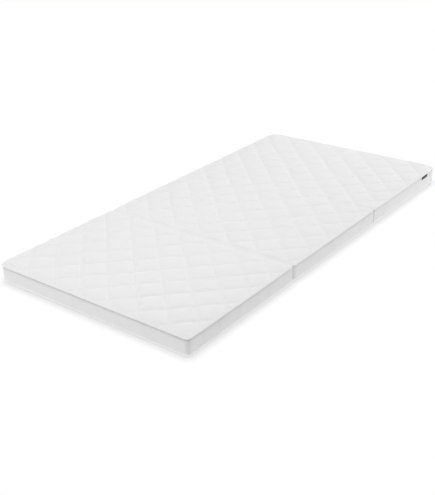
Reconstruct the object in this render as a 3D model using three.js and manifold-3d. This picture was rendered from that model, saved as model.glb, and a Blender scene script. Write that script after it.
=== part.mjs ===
// A folding travel mattress for a cot: three foam blocks in one sewn cover with a diamond-quilted top.
// It lies flat in use and folds like a letter Z. The near panel swings down and under the middle one on
// a cloth hinge at the floor, and the far panel swings up and over it on a cloth hinge at the top.
// Each panel's cover opens with a zip on its hidden long side, so that the foam can be taken out.
//
// Millimetres, +Z up. The origin is on the floor under the centre of the whole mattress, +X runs from
// the near panel to the far one, and +Y points to the side with the zips.

import * as THREE from "three";
import { mergeVertices } from "three/addons/utils/BufferGeometryUtils.js";
import Module from "manifold-3d";

// Driving dimensions of the panels in plan
const panelLength = 399.6;
const mattressWidth = 600;
const nearFoldGap = 0.6;
const farFoldGap = 0.6;
const nearEndCornerRadius = 17;
const nearFoldCornerRadius = 10;
const farFoldCornerRadius = 7;
const farEndCornerRadius = 34;

// Driving dimensions of the layers, from the floor up
const clothGap = 0.3;
const baseClothThickness = 1.5;
const foamThickness = 40;
const backingThickness = 0.6;
const waddingThickness = 2;
const seamThickness = 1.2;
const channelLoft = 3.7;
const padLoft = 6.1;

// The side border is a strip of cloth that wraps under the edge of the foam
const borderThickness = 1.5;
const bottomEdgeRadius = 12;
const borderFlange = 3;
const borderTopRadius = 0.9;

// The quilted top overhangs the border, and the seam between them lies in a recess
const seamOverhang = 1;
const seamRecess = 1.2;
const seamDepth = 2.8;
const quiltEdgeRadius = 3.4;
const quiltEdgeTurn = 0.2;
const quiltShoulderWidth = 15;
const quiltFoldShoulderWidth = 5;

// The quilting makes square diamonds, sized from corner to corner. The places where stitch lines cross are
// given from the near panel's centre, and from the fold between the other two, which share one pattern.
const diamondSize = 88.5;
const padStepShares = [0, 0.28, 0.72];
const nearCrossingX = -38.9;
const nearCrossingY = -5.9;
const farCrossingX = -31.8;
const farCrossingY = -7.7;
const padPeakShare = 0.5;
const padFullness = 0.5;
const edgeFadeWidth = 34;
const edgeFadeShare = 0.5;

// Each cloth hinge is a seam that stands in the gap of a fold, with a foot across its closed end
const hingeSeamHeight = 15;
const hingeFootWidth = 9;
const hingeFootThickness = 1;

// The zips, all as long as the far panel's side has room for
const zipFromCorner = 29.3;
const zipWindowHeight = 9.4;
const zipTapeWidth = 12;
const zipTapeThickness = 0.8;
const zipTapeMargin = 5;
const zipChainWidth = 4.4;
const zipChainThickness = 1.2;
const zipChainChamfer = 0.5;
const zipStopLength = 3;
const zipStopProud = 0.4;
const sliderLength = 13;
const sliderNoseLength = 5;
const sliderNoseWidth = 4.6;
const sliderWall = 1.1;
const lugLength = 1.4;
const lugWidth = 3.2;
const pinDiameter = 1.3;
const knuckleLength = 5;
const knuckleDiameter = 3.4;
const pullLength = 15;
const pullWidth = 7;
const pullNeckWidth = 4.6;
const pullNeckLength = 4;
const pullThickness = 1.1;
const pullHoleDiameter = 3;

// The bare label in the top seam, near the far corner of the side without zips
const labelLength = 37;
const labelDrop = 9;
const labelThickness = 0.6;
const labelFromCorner = 32;

// How finely round stretches are divided, how far a cut runs past what it cuts, and angles in turns.
// An outline that is drawn in past its own corners keeps the least corner radius.
const leastCornerRadius = 0.8;
const cornerSteps = 5;
const edgeSteps = 3;
const pinSides = 10;
const cutOverrun = 2;
const quarterTurn = 0.25;

// Heights of the layers
const foamBottom = Math.max(baseClothThickness, borderThickness) + clothGap;
const foamTop = foamBottom + foamThickness;
const backingBottom = foamTop + clothGap;
const waddingBottom = backingBottom + backingThickness + clothGap;
const seamTop = waddingBottom + waddingThickness;
const quiltBottom = seamTop + clothGap;
const quiltTop = quiltBottom + padLoft;
const seamBottom = seamTop - seamThickness;
const borderTop = seamBottom - clothGap;

// How far the layers lie inside a panel's outline
const borderInset = seamOverhang;
const insideInset = borderInset + borderThickness + clothGap;
const seamInset = borderInset + seamRecess;
const waddingInset = seamInset + seamDepth + clothGap;
const flangeInset = borderInset + bottomEdgeRadius + borderFlange;

// The panels lie one after another. Each is built about its own centre, which its group puts in place.
const totalLength = 3 * panelLength + nearFoldGap + farFoldGap;
const nearX = (panelLength - totalLength) / 2;
const middleX = nearX + panelLength + nearFoldGap;
const farX = middleX + panelLength + farFoldGap;
const nearFoldX = (nearX + middleX) / 2;
const farFoldX = (middleX + farX) / 2;

// The stitch crossing nearest to a panel's middle, for a crossing that lies further along the pattern
const nearestCrossing = (x) => x - diamondSize * Math.round(x / diamondSize);

const panels = [
  {
    name: "near",
    x: nearX,
    crossing: [nearestCrossing(nearCrossingX), nearestCrossing(nearCrossingY)],
    low: { radius: nearEndCornerRadius, joined: false },
    high: { radius: nearFoldCornerRadius, joined: false },
  },
  {
    name: "middle",
    x: middleX,
    crossing: [nearestCrossing(farFoldX + farCrossingX - middleX), nearestCrossing(farCrossingY)],
    low: { radius: nearFoldCornerRadius, joined: false },
    high: { radius: farFoldCornerRadius, joined: true },
  },
  {
    name: "far",
    x: farX,
    crossing: [nearestCrossing(farFoldX + farCrossingX - farX), nearestCrossing(farCrossingY)],
    low: { radius: farFoldCornerRadius, joined: true },
    high: { radius: farEndCornerRadius, joined: false },
  },
];

const finish = (color, roughness, metalness = 0) =>
  new THREE.MeshStandardMaterial({ color, roughness, metalness });
const quiltCloth = finish(0xf2f2f1, 0.9);
const borderCloth = finish(0xececea, 0.9);
const seamCloth = finish(0xdededc, 0.95);
const baseCloth = finish(0xe8e8e6, 0.95);
const backingCloth = finish(0xf6f6f4, 1);
const waddingFibre = finish(0xfafafa, 1);
const foam = finish(0xf3eedd, 1);
const labelCloth = finish(0x17171a, 0.7);
const zipCloth = finish(0xf0f0ee, 0.9);
const zipNylon = finish(0xf4f4f2, 0.5);
const zipMetal = finish(0xe9e9e8, 0.35, 0.6);

const wasm = await Module();
wasm.setup();

// A closed geometry as a solid that can be cut and joined
function solidOf(geometry) {
  const bare = new THREE.BufferGeometry();
  bare.setAttribute("position", geometry.getAttribute("position"));
  bare.setIndex(geometry.getIndex());
  const merged = mergeVertices(bare);
  const vertProperties = merged.getAttribute("position").array;
  const triVerts = new Uint32Array(merged.getIndex().array);
  return new wasm.Manifold(new wasm.Mesh({ numProp: 3, vertProperties, triVerts }));
}

function geometryOf(solid) {
  const { vertProperties, triVerts } = solid.getMesh();
  const geometry = new THREE.BufferGeometry();
  geometry.setAttribute("position", new THREE.BufferAttribute(vertProperties, 3));
  geometry.setIndex(new THREE.BufferAttribute(triVerts, 1));
  geometry.computeVertexNormals();
  return geometry;
}

function meshOf(vertices, faces) {
  const geometry = new THREE.BufferGeometry();
  geometry.setAttribute("position", new THREE.Float32BufferAttribute(vertices.flat(), 3));
  geometry.setIndex(faces.flat());
  geometry.computeVertexNormals();
  return geometry;
}

// A panel's outline with rounded corners, drawn in by an inset and counter-clockwise, as [x, y] points.
// It has as many points at every inset, so outlines can be skinned together.
function outlineOf(panel, inset) {
  const corners = [
    { end: panel.high, wayX: 1, wayY: 1 },
    { end: panel.low, wayX: -1, wayY: 1 },
    { end: panel.low, wayX: -1, wayY: -1 },
    { end: panel.high, wayX: 1, wayY: -1 },
  ];
  return corners.flatMap(({ end, wayX, wayY }, quarter) => {
    const radius = Math.max(end.radius - inset, leastCornerRadius);
    const x = wayX * (panelLength / 2 - inset - radius);
    const y = wayY * (mattressWidth / 2 - inset - radius);
    return Array.from({ length: cornerSteps + 1 }, (_, step) => {
      const angle = ((quarter + step / cornerSteps) * Math.PI) / 2;
      return [x + radius * Math.cos(angle), y + radius * Math.sin(angle)];
    });
  });
}

// Skins outlines that follow a section of [inset, height] pairs, which climbs on the outer side
function skin(panel, section, closedSection) {
  const rings = section.map(([inset, z]) => outlineOf(panel, inset).map(([x, y]) => [x, y, z]));
  const count = rings[0].length;
  const vertices = rings.flat();
  const faces = [];
  const bandCount = closedSection ? rings.length : rings.length - 1;
  for (let band = 0; band < bandCount; band++) {
    const low = band * count;
    const high = ((band + 1) % rings.length) * count;
    for (let k = 0; k < count; k++) {
      const next = (k + 1) % count;
      faces.push([low + k, low + next, high + next], [low + k, high + next, high + k]);
    }
  }
  return { vertices, faces, count };
}

// A hoop round the panel, from a section that closes on itself
function hoop(panel, section) {
  const { vertices, faces } = skin(panel, section, true);
  return meshOf(vertices, faces);
}

// A slab over the whole panel, with a flat lid at the bottom and the top of its section
function slab(panel, section) {
  const { vertices, faces, count } = skin(panel, section, false);
  const bottomCentre = vertices.push([0, 0, section[0][1]]) - 1;
  const topCentre = vertices.push([0, 0, section[section.length - 1][1]]) - 1;
  const topRing = (section.length - 1) * count;
  for (let k = 0; k < count; k++) {
    const next = (k + 1) % count;
    faces.push([bottomCentre, next, k], [topCentre, topRing + k, topRing + next]);
  }
  return meshOf(vertices, faces);
}

// An arc of a section about [inset, height]. Angle 0 points out of the panel and a quarter turn points up.
function arc([inset, z], radius, fromTurn, toTurn) {
  return Array.from({ length: edgeSteps + 1 }, (_, step) => {
    const angle = (fromTurn + ((toTurn - fromTurn) * step) / edgeSteps) * 2 * Math.PI;
    return [inset - radius * Math.cos(angle), z + radius * Math.sin(angle)];
  });
}

// A shape that is extruded along X is drawn with Y across and Z up
function extrudeAlongX(shape, startX, length) {
  const geometry = new THREE.ExtrudeGeometry(shape, { depth: length, bevelEnabled: false });
  const [x, y, z] = [0, 1, 2].map((axis) => new THREE.Vector3().setComponent(axis, 1));
  return geometry.applyMatrix4(new THREE.Matrix4().makeBasis(y, z, x)).translate(startX, 0, 0);
}

// A shape that is extruded along Y is drawn with Z across and X up
function extrudeAlongY(shape, startY, length) {
  const geometry = new THREE.ExtrudeGeometry(shape, { depth: length, bevelEnabled: false });
  const [x, y, z] = [0, 1, 2].map((axis) => new THREE.Vector3().setComponent(axis, 1));
  return geometry.applyMatrix4(new THREE.Matrix4().makeBasis(z, x, y)).translate(0, startY, 0);
}

const shapeOf = (points) => new THREE.Shape(points.map(([across, up]) => new THREE.Vector2(across, up)));

function block([lowX, lowY, lowZ], [highX, highY, highZ]) {
  const geometry = new THREE.BoxGeometry(highX - lowX, highY - lowY, highZ - lowZ);
  return geometry.translate((lowX + highX) / 2, (lowY + highY) / 2, (lowZ + highZ) / 2);
}

// The side border: under the foam's edge, round the bottom, up the side and rolled over at the top
function sideBorder(panel) {
  const innerInset = borderInset + borderThickness;
  const bottomCentre = [borderInset + bottomEdgeRadius, bottomEdgeRadius];
  const topCentre = [borderInset + borderTopRadius, borderTop - borderTopRadius];
  const section = [
    [flangeInset, 0],
    ...arc(bottomCentre, bottomEdgeRadius, -quarterTurn, 0),
    ...arc(topCentre, borderTopRadius, 0, quarterTurn),
    [innerInset, borderTop],
    ...arc(bottomCentre, bottomEdgeRadius - borderThickness, 0, -quarterTurn),
    [flangeInset, borderThickness],
  ];
  return hoop(panel, section);
}

function foamCore(panel) {
  const radius = bottomEdgeRadius - borderThickness - clothGap;
  const centre = [insideInset + radius, foamBottom + radius];
  return slab(panel, [...arc(centre, radius, -quarterTurn, 0), [insideInset, foamTop]]);
}

function topSeam(panel) {
  const [outer, inner] = [seamInset, seamInset + seamDepth];
  return hoop(panel, [[outer, seamBottom], [outer, seamTop], [inner, seamTop], [inner, seamBottom]]);
}

const layer = (panel, inset, bottom, thickness) =>
  slab(panel, [[inset, bottom], [inset, bottom + thickness]]);

// A point of the quilted surface, from how many diamonds it lies from a stitch crossing along each of
// the two families of stitch lines. Pads puff up between whole numbers, and get flatter towards the
// edges where the cloth ends.
function quiltPoint(panel, first, second) {
  const x = panel.crossing[0] + ((first + second) * diamondSize) / 2;
  const y = panel.crossing[1] + ((first - second) * diamondSize) / 2;
  const fullness = Math.abs(Math.sin(Math.PI * first) * Math.sin(Math.PI * second)) ** padFullness;
  const fromEdges = [mattressWidth / 2 - Math.abs(y)];
  if (!panel.low.joined) fromEdges.push(x + panelLength / 2);
  if (!panel.high.joined) fromEdges.push(panelLength / 2 - x);
  const inside = THREE.MathUtils.smoothstep(Math.min(...fromEdges) / edgeFadeWidth, 0, 1);
  const fade = THREE.MathUtils.lerp(edgeFadeShare, 1, inside);
  return [x, y, quiltBottom + channelLoft + (padLoft - channelLoft) * fade * fullness];
}

// A slab with the quilted surface on top, larger than the panel. Its lattice is turned like the stitch
// lines, so that each line runs along the edges of its faces, and each pad comes to a blunt peak.
function quiltField(panel) {
  const steps = padStepShares.length;
  const reach = Math.ceil((panelLength + mattressWidth) / diamondSize / 2) + 1;
  const side = 2 * reach * steps + 1;
  const stepAt = (index) => Math.floor(index / steps) + padStepShares[index % steps] - reach;
  const tops = [];
  for (let row = 0; row < side; row++) {
    for (let column = 0; column < side; column++) {
      tops.push(quiltPoint(panel, stepAt(row), stepAt(column)));
    }
  }
  const lift = tops.length;
  const vertices = [...tops.map(([x, y]) => [x, y, quiltBottom - cutOverrun]), ...tops];
  const faces = [];
  const addQuad = (a, b, c, d) => faces.push([a, b, c], [a, c, d]);
  for (let row = 0; row < side - 1; row++) {
    for (let column = 0; column < side - 1; column++) {
      const a = row * side + column;
      const [b, c, d] = [a + side, a + side + 1, a + 1];
      addQuad(a, b, c, d);
      const onPad = row % steps === 1 && column % steps === 1;
      if (onPad) {
        const [first, second] = [row, column].map((index) => stepAt(index - 1) + padPeakShare);
        const peak = vertices.push(quiltPoint(panel, first, second)) - 1;
        const sides = [[d, a], [c, d], [b, c], [a, b]];
        sides.forEach(([from, to]) => faces.push([lift + to, lift + from, peak]));
      } else {
        addQuad(lift + a, lift + d, lift + c, lift + b);
      }
    }
  }
  const last = side - 1;
  for (let k = 0; k < last; k++) {
    addQuad((k + 1) * side, k * side, lift + k * side, lift + (k + 1) * side);
    addQuad(last * side + k + 1, last * side + k, lift + last * side + k, lift + last * side + k + 1);
    addQuad(k * side + last, (k + 1) * side + last, lift + (k + 1) * side + last, lift + k * side + last);
    addQuad(k, k + 1, lift + k + 1, lift + k);
  }
  return meshOf(vertices, faces);
}

// The quilted top is trimmed twice: to soft shoulders where the cloth ends, with the joined fold left
// outside, and to the panel's outline with a short shoulder, which makes the crease at that fold
function quiltedTop(panel) {
  const trim = (addedLow, addedHigh, shoulderWidth) => {
    const centre = [quiltEdgeRadius, quiltBottom + channelLoft - quiltEdgeRadius];
    const edge = arc(centre, quiltEdgeRadius, 0, quiltEdgeTurn);
    const section = [[0, quiltBottom], ...edge, [shoulderWidth, quiltTop]];
    const stretch = (panelLength + addedLow + addedHigh) / panelLength;
    const geometry = slab(panel, section).scale(stretch, 1, 1);
    return solidOf(geometry.translate((addedHigh - addedLow) / 2, 0, 0));
  };
  const [reachLow, reachHigh] = [panel.low, panel.high].map((end) => (end.joined ? diamondSize : 0));
  const soft = trim(reachLow, reachHigh, quiltShoulderWidth);
  const outline = trim(0, 0, quiltFoldShoulderWidth);
  return geometryOf(solidOf(quiltField(panel)).intersect(soft).intersect(outline));
}

const mattress = new THREE.Group();

function place(group, name, geometry, material) {
  const mesh = new THREE.Mesh(geometry, material);
  mesh.name = name;
  group.add(mesh);
  return mesh;
}

function groupAt(parent, x, y, z) {
  const group = new THREE.Group();
  group.position.set(x, y, z);
  parent.add(group);
  return group;
}

// The zip lies just above the border's bottom bend
const zipHeight = bottomEdgeRadius + zipTapeWidth;

// Where a panel's zip lies along it: centred on the straight stretch between its round corners
const zipMiddle = (panel) => (panel.low.radius - panel.high.radius) / 2;
const zipLength = panelLength - farEndCornerRadius - farFoldCornerRadius - 2 * zipFromCorner;
const zipWindowLength = zipLength + 2 * (zipStopLength + 2 * clothGap);
const zipTapeLength = zipWindowLength + zipWindowHeight + 2 * zipTapeMargin;
const tapeOuterY = mattressWidth / 2 - insideInset;
const tapeInnerY = tapeOuterY - zipTapeThickness;
const chainInnerY = tapeOuterY + clothGap;
const chainOuterY = chainInnerY + zipChainThickness;

// The slot with round ends in the border, through which the zip shows
function zipWindow(panel) {
  const radius = zipWindowHeight / 2;
  const half = zipWindowLength / 2;
  const slot = new THREE.Shape();
  slot.absarc(zipHeight, zipMiddle(panel) + half, radius, 0, Math.PI);
  slot.absarc(zipHeight, zipMiddle(panel) - half, radius, Math.PI, 2 * Math.PI);
  const outline = shapeOf(slot.getPoints(cornerSteps).map(({ x, y }) => [x, y]));
  return extrudeAlongY(outline, tapeOuterY, borderThickness + clothGap + seamOverhang + cutOverrun);
}

// The hollow that the zip tapes press into the foam
function tapePocket(panel) {
  const halfLength = zipTapeLength / 2 + clothGap;
  const halfHeight = zipTapeWidth + clothGap;
  return block(
    [zipMiddle(panel) - halfLength, tapeInnerY - clothGap, zipHeight - halfHeight],
    [zipMiddle(panel) + halfLength, tapeOuterY + cutOverrun, zipHeight + halfHeight],
  );
}

function zipChain(panel) {
  const half = zipChainWidth / 2;
  const shoulder = chainOuterY - zipChainChamfer;
  const section = shapeOf([
    [chainInnerY, zipHeight - half],
    [shoulder, zipHeight - half],
    [chainOuterY, zipHeight - half + zipChainChamfer],
    [chainOuterY, zipHeight + half - zipChainChamfer],
    [shoulder, zipHeight + half],
    [chainInnerY, zipHeight + half],
  ]);
  return extrudeAlongX(section, zipMiddle(panel) - zipLength / 2, zipLength);
}

// The slider rides over the chain and hugs it on both sides. Two lugs on its back hold the pull's pin.
// It is built about the pin, with +X towards the closed end of the zip.
const wingInnerY = chainOuterY + clothGap;
const wingOuterY = wingInnerY + sliderWall;
const pinY = wingOuterY + clothGap + knuckleDiameter / 2;
function zipSlider() {
  const [low, inner, outer] = [chainInnerY - pinY, wingInnerY - pinY, wingOuterY - pinY];
  const hug = zipChainWidth / 2 + clothGap;
  const half = hug + sliderWall;
  const section = [
    [low, -half], [outer, -half], [outer, half], [low, half],
    [low, hug], [inner, hug], [inner, -hug], [low, -hug],
  ];
  const nose = sliderNoseWidth / 2;
  const shoulderX = sliderLength / 2 - sliderNoseLength;
  const plan = [
    [-half, shoulderX], [-half, -sliderLength / 2], [half, -sliderLength / 2],
    [half, shoulderX], [nose, sliderLength / 2], [-nose, sliderLength / 2],
  ];
  const body = solidOf(extrudeAlongX(shapeOf(section), -sliderLength / 2, sliderLength));
  const trimmed = body.intersect(solidOf(extrudeAlongY(shapeOf(plan), low, outer - low)));
  const lugOutline = new THREE.Shape();
  lugOutline.moveTo(outer - sliderWall / 2, lugWidth / 2);
  lugOutline.lineTo(outer - sliderWall / 2, -lugWidth / 2);
  lugOutline.absarc(0, 0, lugWidth / 2, -Math.PI / 2, Math.PI / 2);
  const lugPoints = shapeOf(lugOutline.getPoints(cornerSteps).map(({ x, y }) => [x, y]));
  const lugStart = knuckleLength / 2 + clothGap;
  const lugAt = (x) => solidOf(extrudeAlongX(lugPoints, x, lugLength));
  const pinLength = 2 * lugStart + lugLength;
  const pin = new THREE.CylinderGeometry(pinDiameter / 2, pinDiameter / 2, pinLength, pinSides);
  const pinSolid = solidOf(pin.rotateZ(Math.PI / 2));
  return geometryOf(trimmed.add(lugAt(-lugStart - lugLength)).add(lugAt(lugStart)).add(pinSolid));
}

// The pull hangs from a round knuckle on the pin, and widens to a tab with a hole
function zipPull() {
  const knuckleShape = new THREE.Shape().absarc(0, 0, knuckleDiameter / 2, 0, 2 * Math.PI);
  const bore = new THREE.Path().absarc(0, 0, pinDiameter / 2 + clothGap, 0, 2 * Math.PI);
  const ring = shapeOf(knuckleShape.getPoints(pinSides / 2).map(({ x, y }) => [x, y]));
  ring.holes.push(new THREE.Path(bore.getPoints(pinSides / 2)));
  const knuckle = solidOf(extrudeAlongX(ring, -knuckleLength / 2, knuckleLength));
  const neckTop = -(pinDiameter + knuckleDiameter) / 4 - clothGap / 2;
  const neckEnd = -knuckleDiameter / 2 - pullNeckLength;
  const endRadius = pullWidth / 2;
  const endZ = endRadius - pullLength;
  const tab = new THREE.Shape();
  tab.moveTo(neckTop, -pullNeckWidth / 2);
  tab.lineTo(neckTop, pullNeckWidth / 2);
  tab.lineTo(neckEnd, endRadius);
  tab.absarc(endZ, 0, endRadius, Math.PI / 2, (3 * Math.PI) / 2);
  tab.lineTo(neckEnd, -endRadius);
  const outline = shapeOf(tab.getPoints(cornerSteps).map(({ x, y }) => [x, y]));
  const hole = new THREE.Path().absarc(endZ, 0, pullHoleDiameter / 2, 0, 2 * Math.PI);
  outline.holes.push(new THREE.Path(hole.getPoints(pinSides / 2)));
  const plate = solidOf(extrudeAlongY(outline, -pullThickness / 2, pullThickness));
  return geometryOf(knuckle.add(plate));
}

function addZip(group, panel) {
  const middle = zipMiddle(panel);
  const [tapeStart, tapeEnd] = [middle - zipTapeLength / 2, middle + zipTapeLength / 2];
  const tape = (low, high) => block([tapeStart, tapeInnerY, low], [tapeEnd, tapeOuterY, high]);
  const parting = clothGap / 2;
  const name = panel.name + "_zip_";
  place(group, name + "tape_upper", tape(zipHeight + parting, zipHeight + zipTapeWidth), zipCloth);
  place(group, name + "tape_lower", tape(zipHeight - zipTapeWidth, zipHeight - parting), zipCloth);
  place(group, name + "chain", zipChain(panel), zipNylon);
  const stop = (x) =>
    block(
      [x, chainInnerY, zipHeight - zipChainWidth / 2],
      [x + zipStopLength, chainOuterY + zipStopProud, zipHeight + zipChainWidth / 2],
    );
  const stopReach = zipLength / 2 + clothGap;
  place(group, name + "closed_stop", stop(middle + stopReach), zipMetal);
  place(group, name + "open_stop", stop(middle - stopReach - zipStopLength), zipMetal);
  const sliderX = middle + zipLength / 2 - clothGap - sliderLength / 2;
  const sliderGroup = groupAt(group, sliderX, pinY, zipHeight);
  place(sliderGroup, name + "slider", zipSlider(), zipMetal);
  place(sliderGroup, name + "pull", zipPull(), zipMetal);
}

function addPanel(panel) {
  const group = groupAt(mattress, panel.x, 0, 0);
  const name = panel.name + "_";
  const border = solidOf(sideBorder(panel)).subtract(solidOf(zipWindow(panel)));
  const core = solidOf(foamCore(panel)).subtract(solidOf(tapePocket(panel)));
  const base = layer(panel, flangeInset + clothGap, 0, baseClothThickness);
  const backing = layer(panel, insideInset, backingBottom, backingThickness);
  const wadding = layer(panel, waddingInset, waddingBottom, waddingThickness);
  place(group, name + "base_cloth", base, baseCloth);
  place(group, name + "side_border", geometryOf(border), borderCloth);
  place(group, name + "foam_core", geometryOf(core), foam);
  place(group, name + "quilt_backing", backing, backingCloth);
  place(group, name + "quilt_wadding", wadding, waddingFibre);
  place(group, name + "top_seam", topSeam(panel), seamCloth);
  place(group, name + "quilted_top", quiltedTop(panel), quiltCloth);
  addZip(group, panel);
  return group;
}

// A seam along a fold, drawn from its foot. Up is the way that it stands into the gap.
function hingeCloth(x, footZ, up, footWidth, footThickness, seamWidth, length) {
  const shoulder = footZ + up * footThickness;
  const tip = footZ + up * (footThickness + hingeSeamHeight);
  const section = [
    [footZ, x - footWidth / 2], [footZ, x + footWidth / 2], [shoulder, x + footWidth / 2],
    [shoulder, x + seamWidth / 2], [tip, x + seamWidth / 2], [tip, x - seamWidth / 2],
    [shoulder, x - seamWidth / 2], [shoulder, x - footWidth / 2],
  ];
  return extrudeAlongY(shapeOf(section), -length / 2, length);
}

function addHingeCloths() {
  const nearLength = mattressWidth - 2 * nearFoldCornerRadius;
  const nearWidth = nearFoldGap + 2 * (borderInset - clothGap);
  const nearCloth = hingeCloth(nearFoldX, 0, 1, hingeFootWidth, hingeFootThickness, nearWidth, nearLength);
  place(mattress, "near_fold_hinge_cloth", nearCloth, baseCloth);
  const farLength = mattressWidth - 2 * farFoldCornerRadius;
  const farWidth = farFoldGap + 2 * (borderInset - clothGap);
  const footWidth = farFoldGap + 2 * (seamInset - clothGap);
  const farCloth = hingeCloth(farFoldX, seamTop, -1, footWidth, seamThickness, farWidth, farLength);
  place(mattress, "far_fold_hinge_cloth", farCloth, quiltCloth);
}

// The label is caught in the recess of the top seam and hangs over the border
function addLabel(group, panel) {
  const inner = -mattressWidth / 2 + seamInset - clothGap;
  const outer = -mattressWidth / 2 + borderInset - clothGap - labelThickness;
  const low = borderTop + clothGap;
  const high = low + labelThickness;
  const section = [
    [inner, low], [inner, high], [outer, high], [outer, high - labelDrop],
    [outer + labelThickness, high - labelDrop], [outer + labelThickness, low],
  ];
  const startX = panelLength / 2 - panel.high.radius - labelFromCorner - labelLength;
  place(group, "bare_label", extrudeAlongX(shapeOf(section), startX, labelLength), labelCloth);
}

const [, , farGroup] = panels.map(addPanel);
addLabel(farGroup, panels[2]);
addHingeCloths();

export default mattress;
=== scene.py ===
"""Dresses a folding cot mattress: a quilted cover of knitted and woven cotton over three foam blocks.

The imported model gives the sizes. This script sews the cover over it: quilted tops whose pads are
puffed up by a cloth simulation, side borders with their rolled seams, the cloth at the two folds, the
zips, the bare label, and the layers inside. Lengths are in metres.
"""

import math

import bmesh
import bpy
import numpy as np
from mathutils import Matrix, Vector
from mathutils.geometry import delaunay_2d_cdt


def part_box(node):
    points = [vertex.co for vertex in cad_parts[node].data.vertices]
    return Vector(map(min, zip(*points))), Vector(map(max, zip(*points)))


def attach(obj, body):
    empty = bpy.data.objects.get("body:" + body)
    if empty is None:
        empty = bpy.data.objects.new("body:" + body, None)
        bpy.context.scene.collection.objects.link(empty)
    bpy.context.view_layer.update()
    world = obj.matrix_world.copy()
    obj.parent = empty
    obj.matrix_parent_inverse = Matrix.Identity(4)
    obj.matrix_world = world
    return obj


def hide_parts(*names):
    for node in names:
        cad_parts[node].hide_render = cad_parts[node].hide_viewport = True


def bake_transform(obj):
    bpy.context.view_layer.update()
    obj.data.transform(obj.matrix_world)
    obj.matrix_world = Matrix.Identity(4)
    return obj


bl_info = {
    "name": "Folding cot mattress",
    "version": (1, 0, 0),
    "blender": (4, 5, 0),
    "location": "View3D > Sidebar > Mattress",
    "description": "Sews the quilted cover of a folding cot mattress, with its folds, zips and label",
    "category": "Object",
}

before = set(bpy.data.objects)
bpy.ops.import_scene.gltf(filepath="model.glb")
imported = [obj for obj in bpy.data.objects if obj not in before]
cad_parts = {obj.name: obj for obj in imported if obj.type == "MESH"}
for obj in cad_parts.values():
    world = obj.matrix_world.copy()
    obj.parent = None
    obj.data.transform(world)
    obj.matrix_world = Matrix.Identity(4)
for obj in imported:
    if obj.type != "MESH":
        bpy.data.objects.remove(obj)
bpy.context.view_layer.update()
MM = 0.001
FULL_TURN = 2 * math.pi
PANELS = ("near", "middle", "far")
boxes = {node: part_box(node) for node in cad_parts}


def low(node, axis):
    """A node's lowest place along an axis."""
    return boxes[node][0][axis]


def high(node, axis):
    """A node's highest place along an axis."""
    return boxes[node][1][axis]


half_width = high("near_quilted_top", 1)
near_fold_x = (high("near_quilted_top", 0) + low("middle_quilted_top", 0)) / 2
far_fold_x = (high("middle_quilted_top", 0) + low("far_quilted_top", 0)) / 2
border_inset = half_width + low("near_side_border", 1)
border_top = high("near_side_border", 2)
quilt_bottom = low("near_quilted_top", 2)
quilt_top = high("near_quilted_top", 2)
zip_height = (low("near_zip_chain", 2) + high("near_zip_chain", 2)) / 2


# Settings

class MattressQuilt(bpy.types.PropertyGroup):
    """The sizes of the quilted tops."""

    diamond: bpy.props.FloatProperty(
        name="Diamond", description="Size of a diamond from corner to corner",
        default=88.5 * MM, unit="LENGTH")
    steps: bpy.props.IntProperty(
        name="Steps", description="Divisions along a diamond's side in the finished cloth", default=24)
    near_crossing: bpy.props.FloatVectorProperty(
        name="Near crossing", description="A stitch crossing, from the near panel's centre",
        size=2, default=(-38.9 * MM, -5.9 * MM), unit="LENGTH")
    far_crossing: bpy.props.FloatVectorProperty(
        name="Far crossing", description="A stitch crossing, from the far fold and the centre line",
        size=2, default=(-31.8 * MM, -7.7 * MM), unit="LENGTH")
    channel_loft: bpy.props.FloatProperty(
        name="Channel loft", description="Thickness of the quilt along its stitch lines",
        default=2.4 * MM, unit="LENGTH")
    edge_loft: bpy.props.FloatProperty(
        name="Edge loft", description="Thickness of the quilt at its rolled edge", default=2.2 * MM,
        unit="LENGTH")
    edge_fade: bpy.props.FloatProperty(
        name="Edge fade", description="Width of the edge band in which the pads get flatter",
        default=34 * MM, unit="LENGTH")
    edge_share: bpy.props.FloatProperty(
        name="Edge share", description="Share of a pad's puff that is left at the edge",
        default=0.5, subtype="FACTOR")
    wander: bpy.props.FloatProperty(
        name="Wander", description="How far the stitch lines stray from straight", default=1.1 * MM,
        unit="LENGTH")
    pucker: bpy.props.FloatProperty(
        name="Pucker", description="Height of the small puckers along the stitches",
        default=0.1 * MM, unit="LENGTH")
    stitch_pitch: bpy.props.FloatProperty(
        name="Stitch pitch", description="Distance from one quilting stitch to the next",
        default=3.4 * MM, unit="LENGTH")
    thread: bpy.props.FloatProperty(
        name="Thread", description="Diameter of the sewing thread", default=0.45 * MM, unit="LENGTH")


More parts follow.
